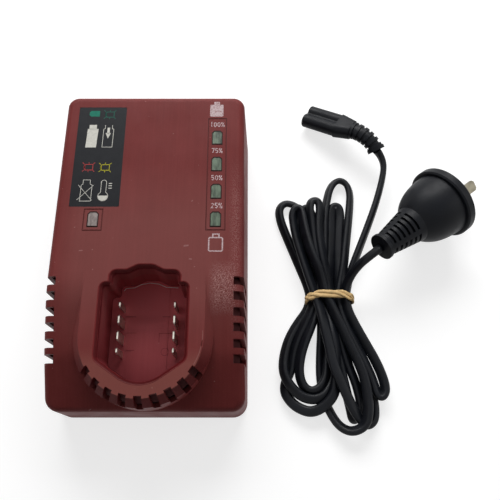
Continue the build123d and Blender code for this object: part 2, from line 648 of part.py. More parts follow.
def connector_route():
    """Points of the flex from the connector's relief to the hank."""
    end = relief_planes(2 * RELIEF_RIBS)[-1]
    first = end.origin + end.z_dir * 17.0
    return [tuple(end.origin), tuple(first), (134.2, 45.0, 2.6), (123.2, 20.5, 2.3), (113.0, -6.0, 2.2)]


def plug_axis():
    return heading(PLUG_AZIMUTH, PLUG_PITCH)


def plug_flange():
    """Middle of the boot's end: the rim's edge stands on the table."""
    face = Vector(*PLUG_FACE, PLUG_RIM_R * cos(radians(PLUG_PITCH)))
    return face - plug_axis() * PLUG_L


def plug_route():
    """Points of the flex from the hank up to the plug's boot."""
    end = plug_flange()
    bend = end - plug_axis() * 8.1
    return [(111.2, -12.7, 12.0), (112.0, -12.6, 20.6), (115.1, -8.5, 27.6), tuple(bend), tuple(end)]


def lead_seat(route):
    """Room in the hank for the end of a lead, square to it."""
    start, following = Vector(*route[0]), Vector(*route[1])
    out = (following - start).normalized()
    level = Vector(0, 0, 1).cross(out).normalized()
    return extrude(Plane(start, x_dir=level, z_dir=out) * Rectangle(CORD_D + 3, CORD_D + 3), 3 * CORD_D)


def hank():
    """Outer shape of the folded flex, waisted at its band, with a seat where each lead leaves it."""
    half, low, high = WAIST_W / 2, BAND_Y - BAND_W / 2, BAND_Y + BAND_W / 2
    upper_loops = [(65.5, 43.0), (82.0, 50.5), (97.0, 48.0), (107.0, 66.0), (119.0, 60.0), (112.8, 18.0)]
    waist_right = [(WAIST_X + half, high), (WAIST_X + half, low)]
    lower_loops = [(126.0, -42.0), (138.0, -76.0), (122.0, -96.0), (104.0, -103.0), (78.0, -96.0),
                   (62.0, -64.0)]
    waist_left = [(WAIST_X - half, low), (WAIST_X - half, high)]
    rounds = [7, 12, 5, 7, 7, 30, 0, 0, 8, 16, 14, 14, 16, 12, 0, 0]
    outline = FilletPolyline(*upper_loops, *waist_right, *lower_loops, *waist_left, radius=rounds, close=True)
    body = extrude(make_face(outline.edges()), HANK_H)
    body -= block(0, 2 * WAIST_X, low, high, -1, BAND_T)
    for route in (connector_route()[::-1], plug_route()):
        body -= lead_seat(route)
    return body


def rubber_band():
    """Band right round the hank's waist."""
    x0, x1 = WAIST_X - WAIST_W / 2, WAIST_X + WAIST_W / 2
    y0, y1 = BAND_Y - BAND_W / 2, BAND_Y + BAND_W / 2
    outer = block(x0 - BAND_T, x1 + BAND_T, y0, y1, 0, HANK_H + BAND_T)
    outer = outer.fillet(1.5, outer.edges().filter_by(Axis.Y))
    return outer - block(x0, x1, y0 - 1, y1 + 1, BAND_T, HANK_H)


def plug_outline():
    """Half section of the plug's body, from the boot's end to the pin face."""
    bell_z, rim_z, lip = PLUG_BOOT_L, PLUG_L - PLUG_RIM_T, 0.8
    boot = Polyline((0, 0), (PLUG_FLANGE_R, 0), (PLUG_FLANGE_R, PLUG_FLANGE_T - lip),
                    (PLUG_BOOT_R, PLUG_FLANGE_T), (PLUG_BELL_START, bell_z))
    start, end = (PLUG_BELL_START, bell_z), (PLUG_BELL_R, rim_z)
    middle = (PLUG_BELL_START + 0.72 * (PLUG_BELL_R - PLUG_BELL_START), bell_z + 0.4 * (rim_z - bell_z))
    bell = Spline([start, middle, end], tangents=[(1.1, 1.0), (0.06, 1.0)])
    rim = Polyline(end, (PLUG_RIM_R - lip, rim_z), (PLUG_RIM_R, rim_z + lip), (PLUG_RIM_R, PLUG_L - lip),
                   (PLUG_RIM_R - lip, PLUG_L), (0, PLUG_L), (0, 0))
    return make_face([*boot.edges(), *bell.edges(), *rim.edges()])


def boot_grooves():
    """Grooves round the boot, each broken by four webs so that the boot can flex."""
    grooves = None
    for i in range(PLUG_RIBS):
        z = PLUG_FLANGE_T + 2.2 + PLUG_RIB_STEP * i
        r = PLUG_BOOT_R + (PLUG_BELL_START - PLUG_BOOT_R) * z / PLUG_BOOT_L - PLUG_RIB_DEPTH
        ring = Pos(0, 0, z) * (Cylinder(PLUG_RIM_R, PLUG_RIB_CUT) - Cylinder(r, PLUG_RIB_CUT))
        grooves = ring if grooves is None else grooves + ring
    for turn in (45, 135):
        grooves -= Rot(0, 0, turn) * Box(2 * PLUG_L, 3.0, 2 * PLUG_L)
    return grooves


def plug():
    """Round two-pin plug: bell, rim, grooved boot and two angled blades with insulated roots."""
    level = Vector(0, 0, 1).cross(plug_axis()).normalized()
    place = Plane(plug_flange(), x_dir=level, z_dir=plug_axis()).location
    body = revolve(Plane.XZ * plug_outline(), Axis.Z) - boot_grooves()
    pieces = {}
    for turn, name in zip(BLADE_ANGLES, ("left", "right")):
        seat = Rot(0, 0, turn) * Pos(BLADE_PITCH_R, 0, PLUG_L)
        blade = Pos(0, 0, (BLADE_L - BLADE_ROOT) / 2) * Box(BLADE_T, BLADE_W, BLADE_L + BLADE_ROOT)
        blade = chamfer(blade.edges().filter_by(Axis.X).sort_by(Axis.Z)[-2:], 1.2)
        core = Pos(0, 0, BLADE_SLEEVE_L / 2) * Box(BLADE_T, BLADE_W, BLADE_SLEEVE_L)
        grown = Box(BLADE_T + 2 * BLADE_SLEEVE_T, BLADE_W + 2 * BLADE_SLEEVE_T, BLADE_SLEEVE_L)
        sleeve = Pos(0, 0, BLADE_SLEEVE_L / 2) * grown - core
        body -= seat * blade
        pieces[f"plug_blade_{name}"] = place * seat * blade
        pieces[f"plug_blade_sleeve_{name}"] = place * seat * sleeve
    return {"plug_body": place * body, **pieces}


def keep(name, shape):
    """Write one sub-part."""
    PARTS[name] = shape
    export_step(shape, f"parts/{name}.step")


def main():
    os.makedirs("parts", exist_ok=True)
    keep("upper_shell", upper_shell())
    keep("lower_shell", lower_shell())
    keep("terminal_block", terminal_block())
    for name, blade in contacts().items():
        keep(name, blade)
    names = [f"gauge_lens_{i}" for i in range(1, 5)] + ["status_lens"]
    for name, (x, y) in zip(names, lens_spots()):
        keep(name, lens(x, y))
    names = [f"gauge_lamp_{i}" for i in range(1, 5)] + ["status_lamp"]
    for name, (x, y) in zip(names, lens_spots()):
        keep(name, lamp(x, y))
    z0 = HEIGHT - LABEL_T - LABEL_DIP
    keep("legend_label", stood(LABEL_BOX, z0, z0 + LABEL_T))
    keep("main_board", main_board())
    keep("lamp_board", lamp_board())
    keep("board_link", stood(LINK_BOX, BOARD_TOP, LAMP_BOARD_TOP - BOARD_T))
    for name, piece in {**inlet(), **transformer()}.items():
        keep(name, piece)
    keep("bulk_capacitor", can(BULK_X, BULK_Y, BULK_R, BULK_H))
    for i, x in enumerate(OUTPUT_CAN_XS, 1):
        keep(f"output_capacitor_{i}", can(x, OUTPUT_CAN_Y, OUTPUT_CAN_R, OUTPUT_CAN_H))
    keep("filter_capacitor", stood(FILTER_BOX, BOARD_TOP, BOARD_TOP + FILTER_H))
    keep("fuse", stood(FUSE_BOX, BOARD_TOP, BOARD_TOP + FUSE_H))
    keep("choke", choke(CHOKE_X, CHOKE_Y))
    keep("heat_sink_primary", heat_sink(*SINK_1, SINK_L, SINK_1_H, 90))
    keep("switching_transistor", power_package(SINK_1[0] + SINK_T / 2, SINK_1[1], 90))
    keep("heat_sink_output", heat_sink(*SINK_2, SINK_L, SINK_2_H, 0))
    keep("output_rectifier", power_package(SINK_2[0], SINK_2[1] - SINK_T / 2, 0))
    for i, (x, y) in enumerate(screw_spots(), 1):
        keep(f"screw_{i}", screw(x, y))
    feet = [(x, y) for x in (-FOOT_X, FOOT_X) for y in FOOT_YS]
    for i, (x, y) in enumerate(feet, 1):
        foot = rod(x, aft(y), 0, FOOT_PROUD + FOOT_SUNK, FOOT_R)
        keep(f"foot_{i}", foot.fillet(0.5, foot.edges().sort_by(Axis.Z)[:1]))
    for name, piece in {**c7_connector(), **plug()}.items():
        keep(name, piece)
    keep("cord_lead_connector", tube(connector_route()))
    keep("cord_lead_plug", tube(plug_route()))
    keep("cord_hank", hank())
    keep("rubber_band", rubber_band())


main()
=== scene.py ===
import math

import bmesh
import bpy
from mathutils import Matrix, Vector


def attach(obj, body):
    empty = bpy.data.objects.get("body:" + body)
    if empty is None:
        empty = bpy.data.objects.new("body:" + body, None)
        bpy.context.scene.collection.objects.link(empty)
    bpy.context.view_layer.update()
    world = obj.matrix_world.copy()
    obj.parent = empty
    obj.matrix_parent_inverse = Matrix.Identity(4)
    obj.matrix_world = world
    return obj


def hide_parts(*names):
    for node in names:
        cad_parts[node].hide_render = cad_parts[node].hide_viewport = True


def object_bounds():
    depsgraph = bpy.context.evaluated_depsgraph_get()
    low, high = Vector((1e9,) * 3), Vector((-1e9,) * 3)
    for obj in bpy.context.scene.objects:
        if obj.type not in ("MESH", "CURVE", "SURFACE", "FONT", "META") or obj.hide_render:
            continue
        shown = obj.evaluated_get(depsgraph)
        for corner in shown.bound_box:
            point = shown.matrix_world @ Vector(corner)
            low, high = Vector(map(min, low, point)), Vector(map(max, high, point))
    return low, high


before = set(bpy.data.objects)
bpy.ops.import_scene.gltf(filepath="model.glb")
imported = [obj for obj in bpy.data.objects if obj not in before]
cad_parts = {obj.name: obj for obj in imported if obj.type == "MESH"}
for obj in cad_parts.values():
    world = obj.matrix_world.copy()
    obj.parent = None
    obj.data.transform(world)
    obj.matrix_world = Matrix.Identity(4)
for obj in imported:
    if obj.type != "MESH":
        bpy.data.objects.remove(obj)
cad_low, cad_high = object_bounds()
scene = bpy.context.scene
MM = 0.001


# ---------------------------------------------------------------- material helpers

def linear(value):
    value /= 255
    return value / 12.92 if value <= 0.04045 else ((value + 0.055) / 1.055) ** 2.4


def rgb(r, g, b):
    return (linear(r), linear(g), linear(b), 1)


def node(tree, kind, **values):
    made = tree.nodes.new("ShaderNode" + kind)
    for key, value in values.items():
        key = key.replace("_", " ")
        made.inputs[key].default_value = value
    return made


def noise(tree, scale, detail=2.0, rough=0.5, stretch=None):
    spot = tree.nodes.new("ShaderNodeTexCoord")
    made = node(tree, "TexNoise", Scale=scale, Detail=detail, Roughness=rough)
    if stretch:
        warp = tree.nodes.new("ShaderNodeMapping")
        warp.inputs["Scale"].default_value = stretch
        tree.links.new(spot.outputs["Object"], warp.inputs["Vector"])
        tree.links.new(warp.outputs["Vector"], made.inputs["Vector"])
    else:
        tree.links.new(spot.outputs["Object"], made.inputs["Vector"])
    return made.outputs["Fac"]


def ramp(tree, source, *stops):
    made = tree.nodes.new("ShaderNodeValToRGB")
    line = made.color_ramp
    while len(line.elements) < len(stops):
        line.elements.new(0.5)
    for element, (place, colour) in zip(line.elements, stops):
        element.position = place
        element.color = colour if len(colour) == 4 else (*colour, 1)
    tree.links.new(source, made.inputs["Fac"])
    return made.outputs["Color"]


def grey(value):
    return (value, value, value, 1)


def spread(tree, source, low, high, to_low, to_high):
    made = tree.nodes.new("ShaderNodeMapRange")
    for name, value in (("From Min", low), ("From Max", high), ("To Min", to_low), ("To Max", to_high)):
        made.inputs[name].default_value = value
    tree.links.new(source, made.inputs["Value"])
    return made.outputs["Result"]


def mixed(tree, fac, a, b):
    made = tree.nodes.new("ShaderNodeMix")
    made.data_type = "RGBA"
    tree.links.new(fac, made.inputs["Factor"])
    for slot, value in ((6, a), (7, b)):
        if isinstance(value, tuple):
            made.inputs[slot].default_value = value
        else:
            tree.links.new(value, made.inputs[slot])
    return made.outputs[2]


def bumped(tree, source, distance, strength, below=None):
    made = node(tree, "Bump", Distance=distance, Strength=strength)
    tree.links.new(source, made.inputs["Height"])
    if below is not None:
        tree.links.new(below, made.inputs["Normal"])
    return made.outputs["Normal"]


def surface(name, rough=0.5, metal=0.0, specular=0.5, **more):
    mat = bpy.data.materials.new(name)
    mat.use_nodes = True
    tree = mat.node_tree
    shader = tree.nodes["Principled BSDF"]
    shader.inputs["Roughness"].default_value = rough
    shader.inputs["Metallic"].default_value = metal
    shader.inputs["Specular IOR Level"].default_value = specular
    for key, value in more.items():
        shader.inputs[key.replace("_", " ")].default_value = value
    return mat, tree, shader


def plain(name, colour, vary=0.12, scale=300, rough=0.5, metal=0.0, specular=0.5, bump=0.00004,
          bump_scale=2500, **more):
    """Finish of one colour with slow variation, uneven gloss and a fine moulded or milled grain."""
    mat, tree, shader = surface(name, rough, metal, specular, **more)
    dark = tuple(c * (1 - vary) for c in colour[:3]) + (1,)
    light = tuple(min(1, c * (1 + vary)) for c in colour[:3]) + (1,)
    tree.links.new(ramp(tree, noise(tree, scale, 4), (0.3, dark), (0.7, light)), shader.inputs["Base Color"])
    tree.links.new(spread(tree, noise(tree, scale * 1.7, 3), 0.3, 0.7, rough * 0.85, min(1, rough * 1.15)),
                   shader.inputs["Roughness"])
    tree.links.new(bumped(tree, noise(tree, bump_scale, 2), bump, 0.4), shader.inputs["Normal"])
    return mat


def place(tree, axis):
    """One coordinate of the surface in the row frame, millimetres."""
    spot = tree.nodes.new("ShaderNodeTexCoord")
    split = tree.nodes.new("ShaderNodeSeparateXYZ")
    tree.links.new(spot.outputs["Object"], split.inputs[0])
    times = tree.nodes.new("ShaderNodeMath")
    times.operation = "MULTIPLY"
    times.inputs[1].default_value = 1000
    tree.links.new(split.outputs[axis], times.inputs[0])
    return times.outputs[0]


def between(tree, source, low, high, soft):
    """One where source lies between low and high, fading over soft outside them."""
    up = spread(tree, source, low - soft, low, 0, 1)
    down = spread(tree, source, high, high + soft, 1, 0)
    return product(tree, up, down)


def product(tree, a, b):
    made = tree.nodes.new("ShaderNodeMath")
    made.operation = "MULTIPLY"
    tree.links.new(a, made.inputs[0])
    tree.links.new(b, made.inputs[1])
    return made.outputs[0]


# ---------------------------------------------------------------- camera, light and floor

camera = bpy.data.objects.new("camera", bpy.data.cameras.new("camera"))
scene.collection.objects.link(camera)
camera.location = (0.05335, -0.1094, 0.334)
camera.rotation_euler = (math.radians(19.9), 0, 0)
camera.data.lens = 41.76
camera.data.sensor_width = 36
camera.data.clip_start = 0.01
scene.camera = camera
scene.view_settings.view_transform = "Standard"


def lamp(name, spot, aim, wide, deep, watts):
    data = bpy.data.lights.new(name, "AREA")
    data.shape, data.size, data.size_y, data.energy = "RECTANGLE", wide, deep, watts
    made = bpy.data.objects.new(name, data)
    scene.collection.objects.link(made)
    made.location = spot
    made.rotation_euler = (Vector(aim) - Vector(spot)).to_track_quat("-Z", "Y").to_euler()
    return made


lamp("key", (0.03, 0.78, 0.64), (0.04, 0.0, 0.02), 0.9, 0.45, 11.6)
lamp("side_left", (-0.75, -0.05, 0.65), (0, 0, 0), 0.5, 0.7, 0.7)
lamp("side_right", (0.95, 0.1, 0.55), (0.05, 0, 0), 0.5, 0.5, 1.1)

SKY = 0.12          # what the white room adds to the object
FLOOR_GLOW = 0.72   # what the floor shows of its own white to the camera
world = bpy.data.worlds.new("studio")
scene.world = world
world.use_nodes = True


def seen_directly(tree):
    """One where a ray comes from the camera, a mirror or glass, and zero for light on the object."""
    path = tree.nodes.new("ShaderNodeLightPath")
    total = path.outputs["Is Camera Ray"]
    for name in ("Is Glossy Ray", "Is Transmission Ray"):
        add = tree.nodes.new("ShaderNodeMath")
        add.operation = "MAXIMUM"
        tree.links.new(total, add.inputs[0])
        tree.links.new(path.outputs[name], add.inputs[1])
        total = add.outputs[0]
    return total


def lit_by_sky():
    """A white room to the camera, mirrors and glass, and only a faint fill for the object."""
    tree = world.node_tree
    back = tree.nodes["Background"]
    back.inputs["Color"].default_value = (1, 1, 1, 1)
    times = tree.nodes.new("ShaderNodeMath")
    times.operation = "MULTIPLY_ADD"
    times.inputs[1].default_value = 1 - SKY
    times.inputs[2].default_value = SKY
    tree.links.new(seen_directly(tree), times.inputs[0])
    tree.links.new(times.outputs[0], back.inputs["Strength"])


lit_by_sky()


def table_top():
    """White paper that keeps the object's shadow."""
    mesh = bpy.data.meshes.new("floor")
    far = 3.0
    mesh.from_pydata([(-far, -far, 0), (far, -far, 0), (far, far, 0), (-far, far, 0)], [], [(0, 1, 2, 3)])
    made = bpy.data.objects.new("floor", mesh)
    scene.collection.objects.link(made)
    mat, tree, shader = surface("paper", 0.9, 0, 0.1)
    shader.inputs["Base Color"].default_value = (0.42, 0.42, 0.42, 1)
    glow = tree.nodes.new("ShaderNodeEmission")
    glow.inputs["Color"].default_value = (1, 1, 1, 1)
    times = tree.nodes.new("ShaderNodeMath")
    times.operation = "MULTIPLY"
    times.inputs[1].default_value = FLOOR_GLOW
    tree.links.new(seen_directly(tree), times.inputs[0])
    tree.links.new(times.outputs[0], glow.inputs["Strength"])
    both = tree.nodes.new("ShaderNodeAddShader")
    tree.links.new(shader.outputs[0], both.inputs[0])
    tree.links.new(glow.outputs[0], both.inputs[1])
    tree.links.new(both.outputs[0], tree.nodes["Material Output"].inputs["Surface"])
    mesh.materials.append(mat)


table_top()


# ---------------------------------------------------------------- finishes

# where the shell's colour changes, mm in the row frame: (low, high, fade)
# patches of painted glints: bright specks where the deck's fine texture would catch the light
PAINTED_GLINTS = [((45.5, 46.5, 4), (-30, 22, 26), 0.28), ((36, 43, 4), (-33, -22, 9), 0.78)]   # x, y, share
POCKET_X, POCKET_Y, POCKET_Z = (-23.4, 23.4, 0.1), (-78.4, -16, 0.1), (20, 52.6, 0.2)
NOSE_Y, NOSE_Z = (-86, -66, 8), (52.4, 54, 0.2)
PAINTED_BEVEL_SHADE_Y, PAINTED_BEVEL_SHADE_Z = (-90, -66, 8), (46.5, 52.6, 0.2)


def moulded(name, colour, hazy, rough, shell):
    """Spark-eroded ABS: fine pits, slow variation of tone, brushed streaks and a few specks of dust; on the
    shell painted glints, painted light and shade in the pocket, a lighter greyer nose, painted shade on the
    mouth's bevel and a painted sheen on the deck; on the pocket floor painted light and shade.
    """
    mat, tree, shader = surface(name, rough, 0, 0.09)
    base = ramp(tree, noise(tree, 38, 5, 0.6), (0.36, colour), (0.66, hazy))
    streak = ramp(tree, noise(tree, 1, 4, 0.6, (900, 26, 26)), (0.40, grey(0)), (0.75, grey(0.22)))
    base = mixed(tree, streak, base, tuple(min(1, c * 1.5) for c in hazy[:3]) + (1,))
    grain = ramp(tree, noise(tree, 2300, 2), (0.45, grey(0.0)), (0.66, grey(0.14)))
    base = mixed(tree, grain, base, tuple(min(1, c * 1.8) for c in hazy[:3]) + (1,))
    if shell:
        x, y, z = place(tree, 0), place(tree, 1), place(tree, 2)
        top = between(tree, z, 40, 54, 1)
        # painted glints: bright specks painted in patches of the deck
        glint = ramp(tree, noise(tree, 2900, 1, 0.2), (0.51, grey(0)), (0.59, grey(1)))
        for across, along, share in PAINTED_GLINTS:
            where = product(tree, between(tree, x, *across), between(tree, y, *along))
            where = spread(tree, product(tree, where, top), 0, 1, 0, share)
            base = mixed(tree, product(tree, glint, where), base, rgb(186, 146, 142))
        # The pocket's walls: painted shade at the front, painted light towards the back.
        inside = product(tree, between(tree, z, *POCKET_Z), between(tree, x, *POCKET_X))
        inside = product(tree, inside, between(tree, y, *POCKET_Y))
        pocket_wall_painted_light = ramp(tree, spread(tree, y, -78, -20, 0, 1), (0.05, rgb(88, 28, 30)), (0.45, rgb(138, 56, 60)),
                     (0.85, rgb(158, 70, 74)))
        base = mixed(tree, inside, base, pocket_wall_painted_light)
        nose = product(tree, between(tree, y, *NOSE_Y), between(tree, z, *NOSE_Z))
        base = mixed(tree, spread(tree, nose, 0, 1, 0, 0.5), base, rgb(132, 82, 74))
        # Painted shade on the mouth's bevel at the front, where it faces the key lamp.
        bevel_shade = product(tree, between(tree, y, *PAINTED_BEVEL_SHADE_Y), between(tree, z, *PAINTED_BEVEL_SHADE_Z))
        base = mixed(tree, spread(tree, bevel_shade, 0, 1, 0, 0.8), base, rgb(86, 20, 21))
        # Painted sheen: the middle of the deck lighter and greyer.
        painted_sheen = product(tree, between(tree, y, -30, 8, 34), between(tree, x, -36, 36, 14))
        painted_sheen = spread(tree, product(tree, painted_sheen, top), 0, 1, 0, 0.30)
        base = mixed(tree, painted_sheen, base, rgb(140, 92, 88))
    else:
        # The pocket floor: painted light on its back part, which lies in shade, and painted shade towards its
        # front.
        along = place(tree, 1)
        base = mixed(tree, between(tree, along, -35, -10, 9), base, rgb(220, 112, 118))
        base = mixed(tree, spread(tree, along, -76, -40, 1, 0), base, rgb(98, 36, 40))
    dust = ramp(tree, noise(tree, 520, 1, 0.3), (0.812, grey(0)), (0.830, grey(0.5)))
    base = mixed(tree, dust, base, rgb(166, 126, 122))
    tree.links.new(base, shader.inputs["Base Color"])
    tree.links.new(spread(tree, noise(tree, 70, 4), 0.3, 0.7, rough - 0.06, rough + 0.08),
                   shader.inputs["Roughness"])
    pits = bumped(tree, noise(tree, 1900, 3, 0.6), 0.00006, 0.5)
    tree.links.new(bumped(tree, noise(tree, 90, 2), 0.00012, 0.12, pits), shader.inputs["Normal"])
    return mat


def window(name, colour, painted_highlight):
    """Pale translucent window with drawn-out streaks of painted highlight."""
    mat, tree, shader = surface(name, 0.28, 0, 0.3)
    streak = noise(tree, 1, 3, 0.5, (420, 130, 160))
    tree.links.new(ramp(tree, streak, (0.36, colour), (0.62, painted_highlight)), shader.inputs["Base Color"])
    tree.links.new(bumped(tree, noise(tree, 700, 2), 0.0001, 0.3), shader.inputs["Normal"])
    return mat


maroon = moulded("maroon_abs", rgb(102, 41, 40), rgb(110, 47, 46), 0.5, True)
# The pocket floor's plastic, a lighter copy of the shell's: painted light, as the floor lies in shade.
pocket = moulded("pocket_floor_painted_light", rgb(158, 74, 78), rgb(166, 82, 86), 0.45, False)
black_pvc = plain("black_pvc", rgb(13, 15, 20), 0.25, 120, 0.42, 0, 0.16, 0.00003, 1500)
plug_pvc = plain("plug_pvc", rgb(13, 15, 20), 0.2, 90, 0.45, 0, 0.13, 0.00003, 1500)
nickel = plain("nickel", rgb(196, 192, 182), 0.2, 250, 0.36, 1.0, 0.5, 0.00003, 1800)
lens_green = window("lens_green", rgb(54, 64, 54), rgb(104, 120, 102))
lens_clear = window("lens_clear", rgb(70, 54, 52), rgb(152, 142, 138))
label_black = plain("label_film", rgb(37, 38, 41), 0.08, 200, 0.4, 0, 0.07)
rubber = plain("tan_rubber", rgb(206, 174, 122), 0.18, 500, 0.6, 0, 0.3, 0.00008, 1200)

FINISHES = {
    "shell_plastic": maroon,
    "pocket_plastic": pocket,
    "label_film": label_black,
    "board": plain("board", rgb(52, 32, 26), 0.2, 150, 0.5),
    "link_cable": plain("link_cable", rgb(150, 150, 150), 0.2, 800, 0.5),
    "inlet_plastic": plain("inlet_plastic", rgb(28, 28, 30), 0.2, 200, 0.5),
    "ferrite": plain("ferrite", rgb(52, 52, 55), 0.2, 300, 0.6),
    "bobbin": plain("bobbin", rgb(196, 168, 92), 0.15, 200, 0.45),
    "can_sleeve": plain("can_sleeve", rgb(36, 44, 60), 0.15, 200, 0.4),
    "film_box": plain("film_box", rgb(184, 158, 60), 0.12, 200, 0.45),
    "fuse_body": plain("fuse_body", rgb(188, 190, 186), 0.1, 300, 0.3),
    "heat_sink": plain("heat_sink", rgb(160, 162, 165), 0.1, 200, 0.4, 1.0),
    "package": plain("package", rgb(30, 30, 32), 0.15, 300, 0.5),
    "flex_pvc": black_pvc,
    "plug_pvc": plug_pvc,
    "band_rubber": rubber,
    "contact_metal": nickel,
    "lens_plastic": lens_green,
    "lamp_body": plain("lamp_body", rgb(150, 178, 150), 0.1, 300, 0.3),
    "pin_brass": plain("pin_brass", rgb(190, 168, 120), 0.15, 300, 0.35, 1.0),
    "screw_steel": plain("screw_steel", rgb(120, 120, 124), 0.15, 300, 0.4, 1.0),
    "foot_rubber": plain("foot_rubber", rgb(26, 26, 27), 0.2, 300, 0.8, 0, 0.2),
    "blade_sleeve": plain("blade_sleeve", rgb(30, 30, 32), 0.2, 300, 0.45, 0, 0.3),
    "blade_brass": plain("blade_metal", rgb(128, 123, 108), 0.2, 260, 0.45, 1.0),
}


def finish_of(name):
    for key, slot in (
            ("shell", "shell_plastic"), ("terminal_block", "pocket_plastic"), ("contact_", "contact_metal"),
            ("gauge_lens", "lens_plastic"), ("status_lens", "lens_plastic"), ("gauge_lamp", "lamp_body"),
            ("status_lamp", "lamp_body"), ("legend_label", "label_film"), ("board_link", "link_cable"),
            ("_board", "board"), ("inlet_housing", "inlet_plastic"), ("inlet_pin", "pin_brass"),
            ("transformer_core", "ferrite"), ("transformer_winding", "bobbin"),
            ("filter_capacitor", "film_box"), ("capacitor", "can_sleeve"), ("fuse", "fuse_body"),
            ("choke", "ferrite"), ("heat_sink", "heat_sink"), ("switching_transistor", "package"),
            ("output_rectifier", "package"), ("screw_", "screw_steel"), ("foot_", "foot_rubber"),
            ("c7_connector", "plug_pvc"), ("connector_sleeve", "pin_brass"), ("plug_body", "plug_pvc"),
            ("plug_blade_sleeve", "blade_sleeve"), ("plug_blade", "blade_brass"), ("cord_", "flex_pvc"),
            ("rubber_band", "band_rubber")):
        if key in name:
            return slot
    return "shell_plastic"


for name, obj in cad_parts.items():
    mat = lens_clear if name == "status_lens" else FINISHES[finish_of(name)]
    obj.data.materials.clear()
    obj.data.materials.append(mat)


# ---------------------------------------------------------------- print, label, and painted shade round the windows and in the panel grooves

DECK_Z = cad_high[2] / MM        # top deck above the table, mm
PRINT_RISE = 0.006               # printed ink above its ground
BACK_Y = 87.5                    # half the case's length: the marks below are set out from its front foot


def line_quads(points, wide, closed=False):
    """Four-cornered faces of a line of one width through the points, mitred at its corners."""
    spots = [Vector(p) for p in points]
    count = len(spots)
    left, right = [], []
    for i, spot in enumerate(spots):
        runs = []
        if i or closed:
            runs.append((spot - spots[i - 1]).normalized())
        if i < count - 1 or closed:
            runs.append((spots[(i + 1) % count] - spot).normalized())
        normals = [Vector((-run.y, run.x)) for run in runs]
        across = sum(normals, Vector((0, 0))).normalized()
        reach = wide / 2 / max(0.35, across.dot(normals[0]))
        left.append(spot + across * reach)
        right.append(spot - across * reach)
    last = count if closed else count - 1
    return [[left[i], right[i], right[(i + 1) % count], left[(i + 1) % count]] for i in range(last)]


def printed(name, mat, shapes, z):
    """Flat faces lying on the deck, the label or the pocket floor, facing up."""
    verts, faces = [], []
    for shape in shapes:
        turn = sum(a[0] * b[1] - b[0] * a[1] for a, b in zip(shape, shape[1:] + shape[:1]))
        shape = shape if turn > 0 else shape[::-1]
        faces.append(tuple(range(len(verts), len(verts) + len(shape))))
        verts += [(x * MM, y * MM, z * MM) for x, y in shape]
    mesh = bpy.data.meshes.new(name)
    mesh.from_pydata(verts, [], faces)
    mesh.materials.append(mat)
    made = bpy.data.objects.new(name, mesh)
    scene.collection.objects.link(made)
    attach(made, "root")
    return made


def rounded_box(x0, x1, y0, y1, r, steps=5):
    """Corner points of a rectangle with rounded corners."""
    made = []
    for cx, cy, start in ((x1 - r, y1 - r, 0), (x0 + r, y1 - r, 90), (x0 + r, y0 + r, 180),
                          (x1 - r, y0 + r, 270)):
        for k in range(steps + 1):
            a = math.radians(start + 90 * k / steps)
            made.append((cx + r * math.cos(a), cy + r * math.sin(a)))
    return made


def set_out(shapes):
    """Shapes given with Y from the front foot of the case, moved into the row frame."""
    return [[(p[0], p[1] - BACK_Y) for p in shape] for shape in shapes]


def ink(name, colour):
    return plain(name, colour, 0.10, 700, 0.5, 0, 0.1, 0.00002, 2000)


white_ink = ink("white_ink", rgb(205, 203, 194))
green_ink = ink("green_ink", rgb(24, 112, 92))
dim_green_ink = ink("dim_green_ink", rgb(30, 92, 78))
red_ink = ink("red_ink", rgb(168, 62, 62))
yellow_ink = ink("yellow_ink", rgb(176, 168, 42))


def worn_ink():
    """Pale pink pad print, rubbed through to the plastic in places."""
    mat, tree, shader = surface("worn_ink", 0.55, 0, 0.1)
    wear = ramp(tree, noise(tree, 1500, 3, 0.6), (0.34, rgb(140, 92, 92)), (0.52, rgb(196, 176, 178)))
    tree.links.new(wear, shader.inputs["Base Color"])
    tree.links.new(bumped(tree, noise(tree, 1900, 2), 0.00004, 0.4), shader.inputs["Normal"])
    return mat


deck_ink = worn_ink()
label = printed("legend_label_print", label_black,
                set_out([rounded_box(-42.7, -16.1, 104.2, 165.6, 1.3)]), DECK_Z - 0.03)
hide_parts("legend_label")
INK_Z = DECK_Z - 0.02


def lamp_sign(x, y):
    """Outline of a lamp with six short rays, as on charger legends."""
    w, h = 2.3, 1.7
    body = [(x - w + 0.7, y + h), (x + w, y + h), (x + w, y - h), (x - w + 0.7, y - h), (x - w, y - h + 0.8),
            (x - w, y + h - 0.8)]
    made = line_quads(body, 0.4, True)
    made += line_quads([(x - w + 0.05, y - h + 0.8), (x - w + 0.05, y + h - 0.8)], 0.8)
    for dx, dy, ex, ey in ((-w, h, -w - 1.1, h + 1.1), (0, h, 0.05, h + 1.3), (w, h, w + 1.0, h + 1.1),
                           (-w, -h, -w - 1.0, -h - 1.0), (0, -h, -0.05, -h - 1.2),
                           (w, -h, w + 1.0, -h - 1.1)):
        made += line_quads([(x + dx, y + dy), (x + ex, y + ey)], 0.34)
    return made


def arc(x, y, r, start, end, steps=12):
    return [(x + r * math.cos(math.radians(start + (end - start) * k / steps)),
             y + r * math.sin(math.radians(start + (end - start) * k / steps))) for k in range(steps + 1)]


